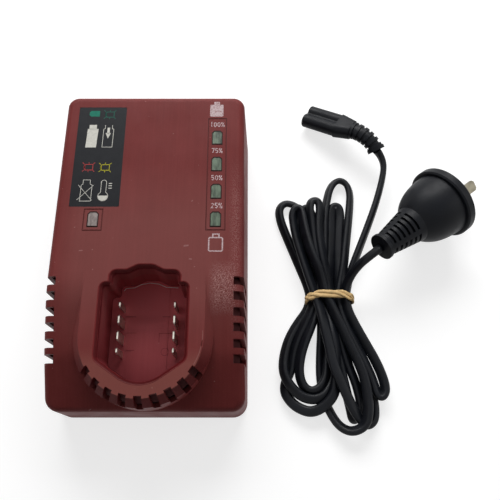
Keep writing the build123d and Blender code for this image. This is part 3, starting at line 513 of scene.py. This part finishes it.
FULL_PACK = [
    [(-36.2, 151.4), (-32.1, 151.4), (-32.1, 154.2), (-36.2, 154.2)],
    [(-37.4, 139.9), (-31.5, 139.9), (-31.0, 151.6), (-37.0, 151.6)],
]
OPEN_PACK = line_quads([(-27.3, 154.1), (-27.3, 151.8), (-28.1, 151.4), (-28.2, 140.1), (-22.7, 140.1),
                        (-22.5, 151.4), (-23.4, 151.8), (-23.4, 154.1)], 0.28)
ARROW = [[(-26.1, 148.6), (-24.7, 148.6), (-24.6, 152.4), (-26.0, 152.4)],
         [(-25.4, 145.5), (-23.9, 149.0), (-26.9, 149.0)]]
NO_PACK = line_quads([(-36.4, 117.5), (-36.4, 120.0), (-32.6, 120.0), (-32.6, 117.5), (-31.4, 116.8),
                      (-31.5, 107.5), (-37.4, 107.5), (-37.3, 116.8)], 0.28, True)
for stroke in ([(-38.8, 116.9), (-30.9, 107.9)], [(-30.6, 116.9), (-38.9, 108.2)]):
    NO_PACK += line_quads(stroke, 0.25)
STEM = 1.4
BULB = (-25.2, 110.3, 2.7)
BULB_TOP = math.degrees(math.acos(STEM / BULB[2]))
THERMOMETER = line_quads(arc(*BULB, BULB_TOP, BULB_TOP - 360 + 2 * (90 - BULB_TOP), 28)
                         + [(BULB[0] - STEM, 118.5)] + arc(BULB[0], 118.5, STEM, 180, 0, 8), 0.28, True)
THERMOMETER += [arc(*BULB, 172, 368, 18)]
TICKS = [[(-22.6, y - 0.24), (-20.8, y - 0.24), (-20.7, y + 0.24), (-22.5, y + 0.24)]
         for y in (117.9, 116.5, 115.1)]
printed("legend_white", white_ink,
        set_out(FULL_PACK + OPEN_PACK + ARROW + NO_PACK + THERMOMETER + TICKS), INK_Z)
GREEN_CELL = [(-36.9, 160.6), (-35.9, 159.6), (-31.3, 159.6), (-31.1, 159.8), (-31.1, 163.1), (-31.3, 163.3),
              (-35.9, 163.3), (-36.9, 162.3)]
printed("legend_green", green_ink, set_out([GREEN_CELL]), INK_Z)
printed("legend_dim_green", dim_green_ink, set_out(lamp_sign(-25.4, 160.9)), INK_Z)
printed("legend_red", red_ink, set_out(lamp_sign(-34.4, 127.7)), INK_Z)
printed("legend_yellow", yellow_ink, set_out(lamp_sign(-25.4, 127.5)), INK_Z)

GLYPHS = {
    "0": [[(0.5, 1), (0.9, 0.8), (0.9, 0.2), (0.5, 0), (0.1, 0.2), (0.1, 0.8), (0.5, 1)]],
    "1": [[(0.3, 0.8), (0.55, 1), (0.55, 0)]],
    "2": [[(0.1, 0.8), (0.5, 1), (0.9, 0.75), (0.1, 0), (0.95, 0)]],
    "5": [[(0.9, 1), (0.15, 1), (0.1, 0.56), (0.6, 0.6), (0.9, 0.3), (0.6, 0), (0.1, 0.08)]],
    "7": [[(0.05, 1), (0.95, 1), (0.4, 0)]],
    "%": [[(0.0, 0.95), (0.3, 1), (0.3, 0.65), (0.0, 0.65), (0.0, 0.95)], [(1.0, 1), (0.15, 0)],
          [(0.8, 0.35), (1.1, 0.35), (1.1, 0), (0.8, 0), (0.8, 0.35)]],
}


def written(text, x, y, tall):
    """Upright digits of a charge scale, centred on x and y."""
    wide = tall * 0.56
    step = tall * 0.76
    start = x - (step * (len(text) - 1) + wide) / 2
    made = []
    for i, sign in enumerate(text):
        for run in GLYPHS[sign]:
            made += line_quads([(start + i * step + u * wide, y + (v - 0.5) * tall) for u, v in run], 0.42)
    return made


scale_marks = written("100%", 35.0, 154.4, 2.7) + written("75%", 35.1, 137.9, 2.7)
scale_marks += written("50%", 35.3, 121.3, 2.7) + written("25%", 35.5, 104.9, 2.7)
scale_marks += [rounded_box(30.9, 38.4, 159.6, 167.3, 0.5), rounded_box(33.2, 36.3, 167.2, 169.3, 0.3)]
scale_marks += line_quads(rounded_box(32.0, 39.1, 79.3, 86.7, 0.7), 0.7, True)
scale_marks += line_quads([(34.0, 86.9), (34.0, 88.6), (37.2, 88.6), (37.2, 86.9)], 0.7)
printed("deck_print", deck_ink, set_out(scale_marks), DECK_Z + PRINT_RISE)

shade_ink = ink("recess_shade", rgb(42, 24, 22))
groove_shade_ink = ink("groove_painted_shade", rgb(74, 30, 29))
WINDOW_W, WINDOW_L, WINDOW_CUT = 5.2, 8.2, 1.2
WINDOWS = [(35.2, 97.0), (35.2, 113.2), (35.2, 129.6), (35.2, 146.0), (-29.3, 97.0)]
window_shade_lines, groove_shade_lines = [], []
# Painted shade: a dark outline round each window, and a wider dark line along its front edge.
for x, y in WINDOWS:
    w, h = WINDOW_W / 2 + 0.16, WINDOW_L / 2 + 0.16
    ring = [(x - w, y - h), (x + w, y - h), (x + w, y + h - WINDOW_CUT), (x + w - WINDOW_CUT, y + h),
            (x - w + WINDOW_CUT, y + h), (x - w, y + h - WINDOW_CUT)]
    window_shade_lines += line_quads(ring, 0.52, True)
    window_shade_lines += line_quads([(x - w, y - h + 0.3), (x + w, y - h + 0.3)], 0.6)
# Painted shade: dark lines in the grooves framing the gauge and the status panel.
for x0, x1, y0, y1 in ((30.1, 40.3, 90.8, 158.4), (-34.3, -24.3, 90.6, 103.0)):
    groove_shade_lines += line_quads([(x0, y0), (x1, y0), (x1, y1), (x0, y1)], 0.34, True)
printed("window_painted_shade", shade_ink, set_out(window_shade_lines), DECK_Z + PRINT_RISE)
printed("panel_groove_shade", groove_shade_ink, set_out(groove_shade_lines), DECK_Z + PRINT_RISE)


# ---------------------------------------------------------------- rim of the battery pocket, a sheet in painted shade

MOUTH_CENTRE = Vector((0, -46))
COLLAR_CENTRE = Vector((0, -51.2))
SLOT_REACH = 27.6                # the collar slots start further out than this


def mouth_outline():
    """The edge of the battery pocket in the deck, read off the upper shell, in order round its middle."""
    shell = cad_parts["upper_shell"]
    spots = {}
    for vert in shell.data.vertices:
        spot = shell.matrix_world @ vert.co / MM
        flat = Vector((spot.x, spot.y))
        nose = (flat - COLLAR_CENTRE).length < SLOT_REACH or spot.y > COLLAR_CENTRE.y
        if abs(spot.z - DECK_Z) < 0.02 and abs(spot.x) < 24.5 and -79 < spot.y < -14 and nose:
            spots[(round(spot.x, 2), round(spot.y, 2))] = flat
    return sorted(spots.values(), key=lambda p: math.atan2(p.y - MOUTH_CENTRE.y, p.x - MOUTH_CENTRE.x))


def offset_ring(ring, grow):
    """The ring moved outwards in its plane."""
    made = []
    for i, spot in enumerate(ring):
        along = (ring[(i + 1) % len(ring)] - ring[i - 1]).normalized()
        made.append(spot + Vector((along.y, -along.x)) * grow)
    return made


def painted_rim_shade():
    """The moulding's edge round the pocket in painted shade: a deeper red than the deck, darker down its
    bevel and darkest at the front, and painted lighter low down where it meets the pocket wall.
    """
    mat, tree, shader = surface("rim_painted_shade", 0.45, 0, 0.12)
    glow = ramp(tree, noise(tree, 260, 3), (0.3, rgb(100, 22, 25)), (0.7, rgb(108, 27, 30)))
    # Painted shade down the bevel.
    rim_bevel_shade = spread(tree, place(tree, 2), DECK_Z - 0.3, DECK_Z - 0.1, 1, 0)
    glow = mixed(tree, rim_bevel_shade, glow, rgb(80, 13, 16))
    # Painted shade, darkest at the front, where the bevel faces the key lamp.
    front = spread(tree, place(tree, 1), -74, -60, 0.8, 0)
    glow = mixed(tree, front, glow, rgb(62, 7, 9))
    # Painted light low down, where the sheet meets the lit pocket wall.
    low = spread(tree, place(tree, 2), DECK_Z - 4.4, DECK_Z - 1.7, 1, 0)
    glow = mixed(tree, low, glow, rgb(128, 50, 54))
    tree.links.new(glow, shader.inputs["Base Color"])
    tree.links.new(bumped(tree, noise(tree, 1900, 3, 0.6), 0.00005, 0.4), shader.inputs["Normal"])
    return mat


def ring_sheet(name, mat, rings):
    """A band of faces through rings of points, all with the same count; (ring, height) pairs."""
    verts, faces = [], []
    count = len(rings[0][0])
    for ring, z in rings:
        verts += [(p.x * MM, p.y * MM, z * MM) for p in ring]
    for level in range(len(rings) - 1):
        for i in range(count):
            j = (i + 1) % count
            here, above = level * count, (level + 1) * count
            faces.append((here + i, here + j, above + j, above + i))
    mesh = bpy.data.meshes.new(name)
    mesh.from_pydata(verts, [], faces)
    for face in mesh.polygons:
        face.use_smooth = True
    mesh.materials.append(mat)
    made = bpy.data.objects.new(name, mesh)
    scene.collection.objects.link(made)
    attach(made, "root")
    return made


mouth = mouth_outline()
rim_painted_shade = painted_rim_shade()
MOUTH_BEVEL = 1.4
RIM_RINGS = [(0.3, PRINT_RISE), (0.04, PRINT_RISE), (-0.26, -0.20),
             (-MOUTH_BEVEL + 0.10, -MOUTH_BEVEL + 0.14), (-MOUTH_BEVEL - 0.04, -MOUTH_BEVEL - 0.10),
             (-MOUTH_BEVEL - 0.02, -MOUTH_BEVEL - 3.2)]      # outwards from the mouth's edge, above the deck
ring_sheet("pocket_rim_shade", rim_painted_shade,
           [(offset_ring(mouth, grow), DECK_Z + rise) for grow, rise in RIM_RINGS])

FLOOR_Z = 27.4
FLOOR_MARKS = [[(-13.9, -36.8), (-8.0, -36.8)], [(-13.2, -45.6), (-7.4, -45.6)],
               [(-12.5, -54.9), (-7.9, -54.9)], [(6.2, -36.8), (10.5, -36.8)],
               [(4.9, -50.7), (4.9, -45.8), (11.7, -45.8)]]
SCUFFS = [[(-34.9, -8.3), (-32.9, -8.1), (-32.9, -7.6), (-34.8, -7.7)],
          [(19.0, -5.9), (21.6, -5.5), (21.7, -4.7), (19.2, -4.9)],
          [(21.9, -12.8), (23.6, -12.9), (23.5, -12.3), (22.0, -12.2)]]
printed("scuffs", ink("scuff", rgb(142, 96, 94)), SCUFFS, DECK_Z + PRINT_RISE)

PALE_LINE_R = 30.2                    # radius of a pale line along the collar's edge, from its centre
# A pale line along the collar's right edge.
COLLAR_PALE_LINE = [line_quads([(COLLAR_CENTRE.x + PALE_LINE_R * math.cos(math.radians(a)),
                          COLLAR_CENTRE.y + PALE_LINE_R * math.sin(math.radians(a))) for a in range(*span)], 0.26)
             for span in ((-30, -5, 2), (-12, 6, 3))]
printed("collar_pale_line", ink("collar_pale_line", rgb(138, 94, 90)), sum(COLLAR_PALE_LINE, []),
        DECK_Z + PRINT_RISE)

ticks = []
for run in FLOOR_MARKS:
    ticks += line_quads(run, 0.22)
ticks += line_quads(arc(8.3, -55.7, 2.0, 0, 345, 20), 0.2)
printed("floor_ticks", ink("floor_tick", rgb(86, 26, 32)), ticks, FLOOR_Z + 0.02)
# A painted highlight: a pale line along the back edge of the pocket floor.
FLOOR_EDGE_HIGHLIGHT = [(-15.6, -22.4), (-14.6, -21.0), (-9.8, -20.5),
              (-6.3, -18.7), (-1.6, -17.8), (3.3, -18.4), (7.4, -20.2), (14.0, -20.6)]
printed("floor_edge_highlight", ink("floor_edge_highlight", rgb(255, 238, 236)), line_quads(FLOOR_EDGE_HIGHLIGHT, 0.36),
        FLOOR_Z + 0.02)


# ---------------------------------------------------------------- guards behind the slots

# A guess, made so that the slots look dark brown and not black: what is behind them isn't seen.
VENT_BACK, VENT_FRONT = -20.5, -66.0      # the side slots lie between these
DECK_BEND = -29.1                         # the deck falls towards the front from here
DECK_FALL = math.tan(math.radians(16.5))
GUARD_T = 1.0
VENT_GUARD = [(43.0, 2.6), (48.3, 10.0)]        # its two edges: out from the middle, down from the deck
COLLAR_GUARD = [(28.6, 50.4), (32.5, 44.4)]     # its two edges: out from the collar's centre, above the table


def guard(name, sections):
    """A sloping plate through four-cornered sections, closed at its ends."""
    verts = [tuple(c * MM for c in spot) for section in sections for spot in section]
    faces = [(0, 1, 2, 3)]
    for i in range(len(sections) - 1):
        for k in range(4):
            m = (k + 1) % 4
            faces.append((i * 4 + k, i * 4 + m, i * 4 + 4 + m, i * 4 + 4 + k))
    last = len(verts) - 4
    faces.append((last + 3, last + 2, last + 1, last))
    mesh = bpy.data.meshes.new(name)
    mesh.from_pydata(verts, [], faces)
    bm = bmesh.new()
    bm.from_mesh(mesh)
    bmesh.ops.recalc_face_normals(bm, faces=bm.faces)
    bm.to_mesh(mesh)
    bm.free()
    mesh.materials.append(guard_abs)
    made = bpy.data.objects.new(name, mesh)
    scene.collection.objects.link(made)
    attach(made, "root")


def vent_guard(side):
    sections = []
    (near, high), (far, low) = VENT_GUARD
    for step in range(13):
        y = VENT_FRONT + (VENT_BACK - VENT_FRONT) * step / 12
        top = DECK_Z - max(0, DECK_BEND - y) * DECK_FALL
        sections.append([(side * near, y, top - high), (side * far, y, top - low),
                         (side * far, y, top - low - GUARD_T), (side * near, y, top - high - GUARD_T)])
    return sections


def collar_guard():
    sections = []
    (near, high), (far, low) = COLLAR_GUARD
    corners = [(near, high), (far, low), (far, low - GUARD_T), (near, high - GUARD_T)]
    for step in range(25):
        turn = math.radians(-90 - 66 + 132 * step / 24)
        sections.append([(COLLAR_CENTRE.x + r * math.cos(turn), COLLAR_CENTRE.y + r * math.sin(turn), z)
                         for r, z in corners])
    return sections


guard_abs = plain("guard_abs", rgb(92, 50, 51), 0.15, 200, 0.6, 0, 0.05)
guard("vent_guard_left", vent_guard(-1))
guard("vent_guard_right", vent_guard(1))
guard("collar_guard", collar_guard())


# ---------------------------------------------------------------- mains flex

FLEX_W, FLEX_T = 5.8, 3.8
RELIEF_END = (132.41, 72.46, 14.21)
PLUG_FLANGE = (126.79, 2.48, 29.41)
# Control points (x, y, z, roll): millimetres in the row frame, and degrees that turn the flat section from
# standing on edge. Known fault: strands cut into each other, most of all near the band.
LEAD_IN = [
    (*RELIEF_END, 0), (135.1, 71.1, 11.8, 5), (137.4, 64.0, 10.4, 10), (135.5, 54.0, 9.2, 14),
    (131.0, 39.5, 8.2, 16), (125.3, 25.0, 7.4, 20), (119.5, 11.2, 6.8, 24), (114.7, -0.3, 6.4, 30),
    (112.2, -7.6, 4.3, 38), (110.1, -16.7, 2.7, 48),
]
LOOP_LEFT_OUTER = [
    (108.5, -23.3, 2.7, 52), (105.1, -33.8, 3.2, 52), (102.9, -46.3, 2.7, 52), (100.9, -58.9, 2.7, 52),
    (99.5, -68.6, 4.2, 50), (95.0, -76.1, 6.0, 54), (88.5, -78.5, 6.4, 64), (81.4, -76.7, 6.5, 60),
    (75.6, -71.1, 6.6, 50), (71.9, -63.9, 6.1, 48), (72.1, -55.5, 4.9, 50), (75.1, -44.8, 3.8, 52),
    (80.8, -35.0, 3.1, 52), (87.0, -27.2, 3.8, 52), (89.1, -18.7, 2.8, 52),
]
LOOP_TOP_LEFT = [
    (87.1, -10.7, 2.8, 52), (84.2, -3.2, 2.7, 52), (80.3, 7.1, 2.7, 50), (75.9, 18.6, 2.7, 48),
    (72.3, 28.6, 2.8, 46), (71.1, 37.1, 2.8, 40), (74.7, 41.6, 2.8, 36), (80.3, 40.7, 2.8, 36),
    (84.2, 37.1, 2.8, 42), (86.5, 27.7, 2.7, 50), (87.9, 16.3, 2.7, 52), (90.3, 3.7, 2.7, 52),
    (93.6, -7.3, 2.7, 52), (94.8, -18.0, 2.7, 52),
]
LOOP_BOTTOM_RIGHT = [
    (94.9, -28.5, 2.7, 52), (94.6, -41.4, 2.7, 52), (93.4, -53.8, 2.7, 52), (92.9, -66.0, 2.7, 52),
    (94.4, -77.0, 2.7, 48), (97.8, -85.8, 3.5, 44), (102.3, -92.7, 5.1, 42), (108.6, -95.5, 7.0, 42),
    (115.8, -92.1, 8.7, 46), (117.7, -83.9, 9.1, 50), (117.6, -75.3, 9.2, 52), (116.3, -66.0, 9.4, 52),
    (112.9, -56.6, 9.9, 52), (108.1, -46.2, 10.6, 52), (103.8, -35.9, 11.1, 52), (100.3, -26.5, 10.2, 52),
    (97.4, -20.7, 10.2, 52),
]
LOOP_TOP_FIRST = [
    (95.4, -12.9, 10.2, 52), (93.7, -5.1, 12.8, 52), (89.2, 5.6, 13.2, 52), (86.4, 18.0, 12.1, 50),
    (85.0, 28.0, 11.3, 46), (84.2, 34.0, 10.6, 40), (81.1, 34.8, 10.1, 40), (79.2, 30.9, 9.7, 46),
    (79.6, 25.2, 9.6, 48), (80.9, 16.4, 9.7, 50), (83.4, 6.7, 9.9, 52), (86.4, -4.2, 10.2, 52),
    (89.1, -13.5, 10.0, 52), (91.1, -20.1, 10.2, 52),
]
LOOP_CENTRE = [
    (93.1, -26.5, 10.2, 56), (95.0, -37.2, 12.2, 66), (97.3, -48.2, 12.5, 76), (99.3, -60.4, 12.7, 80),
    (103.7, -70.8, 11.6, 78), (107.1, -78.6, 9.6, 74), (110.5, -84.9, 7.8, 66), (114.0, -89.7, 5.6, 50),
    (117.6, -91.9, 4.0, 46), (121.3, -89.1, 3.3, 46), (122.2, -83.3, 2.9, 48), (121.7, -76.8, 2.7, 50),
    (119.8, -68.5, 2.7, 52), (117.0, -57.6, 2.7, 52), (113.5, -45.2, 2.7, 52), (110.6, -32.4, 2.7, 52),
    (105.3, -18.7, 2.7, 55),
]
LOOP_TOP_BEHIND = [
    (106.0, -10.0, 2.8, 62), (106.7, 1.1, 2.4, 72), (107.3, 13.7, 2.3, 78), (108.2, 25.0, 2.3, 78),
    (109.3, 34.1, 2.4, 72), (108.3, 39.0, 2.5, 64), (105.1, 39.0, 2.5, 64), (103.5, 34.1, 2.4, 72),
    (103.4, 25.0, 2.3, 76), (102.6, 13.7, 2.3, 76), (101.6, 2.4, 2.4, 70), (100.5, -8.7, 2.7, 60),
    (100.1, -18.7, 2.7, 54),
]
LOOP_LEFT_INNER = [
    (99.8, -31.1, 2.7, 52), (98.8, -44.0, 2.7, 52), (97.2, -56.6, 4.3, 52), (96.1, -66.5, 6.1, 50),
    (91.7, -72.8, 6.7, 44), (86.3, -74.1, 6.3, 36), (82.1, -70.3, 6.1, 42), (80.6, -62.9, 6.0, 48),
    (81.7, -54.9, 6.2, 52), (84.3, -46.7, 6.5, 52), (88.3, -37.8, 7.1, 52), (91.5, -28.1, 6.4, 52),
    (94.3, -19.7, 6.4, 52),
]
LOOP_TOP_SECOND = [
    (94.9, -8.7, 7.3, 52), (92.3, 2.9, 9.4, 52), (90.9, 15.3, 9.0, 50), (90.4, 26.3, 9.0, 48),
    (89.6, 34.0, 9.2, 42), (90.5, 39.9, 9.1, 38), (94.7, 41.2, 9.0, 38), (96.3, 36.2, 9.0, 42),
    (95.3, 27.9, 9.2, 48), (95.0, 17.9, 9.6, 50), (96.1, 6.7, 10.0, 52), (97.8, -4.0, 9.4, 52),
    (99.8, -11.8, 6.4, 52), (100.8, -19.7, 6.4, 52),
]
LOOP_BOTTOM_INNER = [
    (102.1, -26.8, 6.2, 52), (103.9, -38.6, 7.0, 52), (106.4, -49.5, 6.1, 52), (108.9, -59.7, 5.0, 52),
    (112.3, -68.7, 4.1, 52), (114.2, -76.8, 3.3, 50), (114.9, -83.7, 2.8, 46), (112.0, -88.1, 2.9, 42),
    (109.7, -88.7, 2.8, 42), (108.8, -82.7, 3.4, 46), (107.0, -74.6, 4.2, 50), (104.8, -64.1, 5.2, 52),
    (102.3, -51.9, 6.2, 52), (97.0, -39.4, 6.0, 52), (97.6, -27.5, 4.0, 52), (96.6, -19.7, 6.4, 52),
]
LOOP_TOP_THIRD = [
    (96.6, -10.9, 5.6, 52), (95.2, 2.4, 2.7, 52), (92.8, 16.3, 2.8, 50), (92.7, 28.8, 3.6, 46),
    (90.4, 36.4, 4.5, 40), (87.1, 36.7, 6.0, 40), (83.5, 31.1, 6.6, 46), (83.3, 19.3, 5.8, 50),
    (85.4, 8.4, 5.1, 52), (87.9, -2.3, 4.5, 52), (91.9, -12.3, 6.0, 52), (93.6, -19.7, 6.4, 52),
]
LOOP_LOWER_LEFT = [
    (99.0, -29.3, 5.9, 52), (101.0, -42.8, 10.0, 52), (101.5, -55.0, 9.6, 52), (101.2, -66.8, 8.1, 56),
    (100.0, -75.5, 7.8, 72), (94.0, -82.1, 6.9, 84), (87.1, -85.1, 5.6, 90), (80.6, -83.0, 4.5, 90),
    (75.8, -79.2, 3.6, 84), (72.7, -74.0, 2.9, 70), (73.0, -68.6, 2.6, 54), (76.4, -62.4, 2.7, 50),
    (77.3, -53.5, 3.4, 52), (80.2, -44.2, 4.3, 52), (84.5, -36.3, 5.3, 52), (88.7, -27.9, 6.4, 52),
    (91.5, -19.7, 6.4, 52),
]
LOOP_TOP_TALL = [
    (93.5, -9.7, 6.3, 52), (96.9, 2.6, 6.0, 50), (98.1, 16.8, 5.1, 46), (98.7, 30.1, 4.3, 42),
    (101.0, 42.0, 3.7, 36), (103.7, 52.2, 3.3, 28), (108.9, 57.7, 3.2, 20), (114.4, 55.3, 3.1, 24),
    (116.3, 47.7, 3.3, 30), (115.1, 37.1, 3.6, 40), (113.2, 24.3, 4.2, 44), (111.1, 11.3, 4.9, 46),
    (109.4, -0.1, 5.8, 48), (107.0, -11.0, 6.0, 50), (105.1, -19.7, 6.4, 52),
]
LOOP_RIGHT = [
    (107.0, -30.8, 6.8, 52), (110.9, -42.3, 7.4, 52), (115.6, -52.9, 7.1, 52), (119.5, -61.8, 6.8, 52),
    (122.2, -69.6, 6.6, 48), (123.4, -75.5, 6.4, 44), (126.2, -76.9, 6.3, 42), (128.4, -73.1, 6.3, 46),
    (127.2, -66.1, 6.5, 48), (123.7, -57.0, 7.0, 52), (118.6, -47.4, 7.6, 52), (113.4, -37.5, 8.5, 52),
    (109.5, -28.6, 8.4, 52), (108.4, -20.3, 8.8, 48),
]
LEAD_OUT = [
    (108.8, -14.8, 10.0, 46), (111.4, -9.3, 14.5, 44), (115.1, -5.3, 20.6, 42), (119.5, -2.5, 26.8, 40),
    (*PLUG_FLANGE, 40),
]
ROUTE = (LEAD_IN + LOOP_LEFT_OUTER + LOOP_TOP_LEFT + LOOP_BOTTOM_RIGHT + LOOP_TOP_FIRST + LOOP_CENTRE
         + LOOP_TOP_BEHIND + LOOP_LEFT_INNER + LOOP_TOP_SECOND + LOOP_BOTTOM_INNER + LOOP_TOP_THIRD
         + LOOP_LOWER_LEFT + LOOP_TOP_TALL + LOOP_RIGHT + LEAD_OUT)


def spline_points(points):
    """Points along one smooth spline through the route, as Blender gives them for a curve with no bevel."""
    curve = bpy.data.curves.new("flex_line", "CURVE")
    curve.dimensions = "3D"
    curve.resolution_u = 10
    line = curve.splines.new("NURBS")
    line.points.add(len(points) - 1)
    for spot, (x, y, z) in zip(line.points, points):
        spot.co = (x * MM, y * MM, z * MM, 1)
    line.order_u = 3
    line.use_endpoint_u = True
    holder = bpy.data.objects.new("flex_line", curve)
    scene.collection.objects.link(holder)
    mesh = bpy.data.meshes.new_from_object(holder)
    made = [v.co.copy() for v in mesh.vertices]
    bpy.data.objects.remove(holder)
    bpy.data.meshes.remove(mesh)
    return made


def flex_section():
    """Flat two-core flex: two round cores joined by a slightly waisted web; (across, up), mm."""
    outline = []
    r = FLEX_T / 2
    reach = FLEX_W / 2 - r
    for k in range(24):
        a = 2 * math.pi * k / 24
        across, up = math.cos(a) * r, math.sin(a) * r
        if abs(math.sin(a)) > 0.9:
            across *= 0.97
        outline.append((across, up + (reach if up > 0 else -reach)))
    return outline


def flex():
    """The whole flex as one swept piece, with its centre line and length."""
    line = spline_points([p[:3] for p in ROUTE])
    rolls = spline_points([(p[3], 0, 0) for p in ROUTE])
    section = flex_section()
    mesh = bpy.data.meshes.new("flex")
    verts, faces = [], []
    for i, spot in enumerate(line):
        ahead = (line[min(i + 1, len(line) - 1)] - line[max(i - 1, 0)]).normalized()
        side = ahead.cross(Vector((0, 0, 1)))
        side.normalize()
        up = side.cross(ahead)
        roll = math.radians(rolls[i].x / MM)
        for across, height in section:
            a = across * math.cos(roll) + height * math.sin(roll)
            b = height * math.cos(roll) - across * math.sin(roll)
            verts.append(spot + side * a * MM + up * b * MM)
    n = len(section)
    for i in range(len(line) - 1):
        for k in range(n):
            faces.append((i * n + k, i * n + (k + 1) % n, (i + 1) * n + (k + 1) % n, (i + 1) * n + k))
    faces.append(tuple(range(n)))
    faces.append(tuple(range((len(line) - 1) * n, len(line) * n))[::-1])
    mesh.from_pydata([tuple(v) for v in verts], [], faces)
    mesh.update()
    shade(mesh)
    made = bpy.data.objects.new("mains_flex", mesh)
    scene.collection.objects.link(made)
    mesh.materials.append(black_pvc)
    length = sum((b - a).length for a, b in zip(line, line[1:]))
    return made, line, length


def shade(mesh):
    """Normals outwards, smooth on the sides and flat on the ends."""
    bm = bmesh.new()
    bm.from_mesh(mesh)
    bmesh.ops.recalc_face_normals(bm, faces=bm.faces)
    bm.to_mesh(mesh)
    bm.free()
    for face in mesh.polygons:
        face.use_smooth = len(face.vertices) == 4


flex_cord, flex_line, flex_length = flex()
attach(flex_cord, "root")
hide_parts("cord_lead_connector", "cord_hank", "cord_lead_plug")


# ---------------------------------------------------------------- rubber band

def band_strand(name, points, wide, thick):
    """One turn of the flat rubber band, its width tilted by each point's lean."""
    count = len(points)
    verts, faces = [], []
    ring = 10
    for i, (spot, out, lean) in enumerate(points):
        across = Vector((0, 1, 0)) + Vector((0, 0, lean))
        across.normalize()
        for k in range(ring):
            a = 2 * math.pi * k / ring
            verts.append(spot + across * math.cos(a) * wide / 2 * MM + out * math.sin(a) * thick / 2 * MM)
    for i in range(count):
        j = (i + 1) % count
        for k in range(ring):
            m = (k + 1) % ring
            faces.append((i * ring + k, i * ring + m, j * ring + m, j * ring + k))
    mesh = bpy.data.meshes.new(name)
    mesh.from_pydata([tuple(v) for v in verts], [], faces)
    shade(mesh)
    mesh.materials.append(rubber)
    made = bpy.data.objects.new(name, mesh)
    scene.collection.objects.link(made)
    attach(made, "root")
    return made


BAND_X0, BAND_X1, BAND_Z0, BAND_Z1 = 84.8, 114.0, 0.9, 13.9
BAND_Y, BAND_DROOP = -19.5, 2.6
BAND_WEAVE, BAND_LIFT = 1.35, 0.28     # how far the strands wander along the hank and off it
BAND_SQUARE = 0.62                     # below 1 the loop is squarer than an ellipse
for number, (phase, wide, thick) in enumerate([(0.2, 2.6, 1.3), (2.3, 2.3, 1.4), (4.4, 2.4, 1.3)]):
    points = []
    steps = 96
    for i in range(steps):
        t = 2 * math.pi * i / steps
        over = BAND_LIFT * math.cos(3 * t + phase)
        half_x, half_z = (BAND_X1 - BAND_X0) / 2 - 1.0 + over * 0.5, (BAND_Z1 - BAND_Z0) / 2 - 1.0 + over
        c, s = math.cos(t), math.sin(t)
        x = (BAND_X0 + BAND_X1) / 2 + half_x * math.copysign(abs(c) ** BAND_SQUARE, c)
        z = (BAND_Z0 + BAND_Z1) / 2 + half_z * math.copysign(abs(s) ** BAND_SQUARE, s)
        y = BAND_Y - BAND_DROOP * abs(c) ** 1.6 + BAND_WEAVE * math.sin(3 * t + phase)
        out = Vector((c / half_x, 0, s / half_z)).normalized()
        points.append((Vector((x, y, z)) * MM, out, 0.25 * math.sin(t * 2 + phase)))
    band_strand(f"band_strand_{number + 1}", points, wide, thick)
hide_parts("rubber_band")
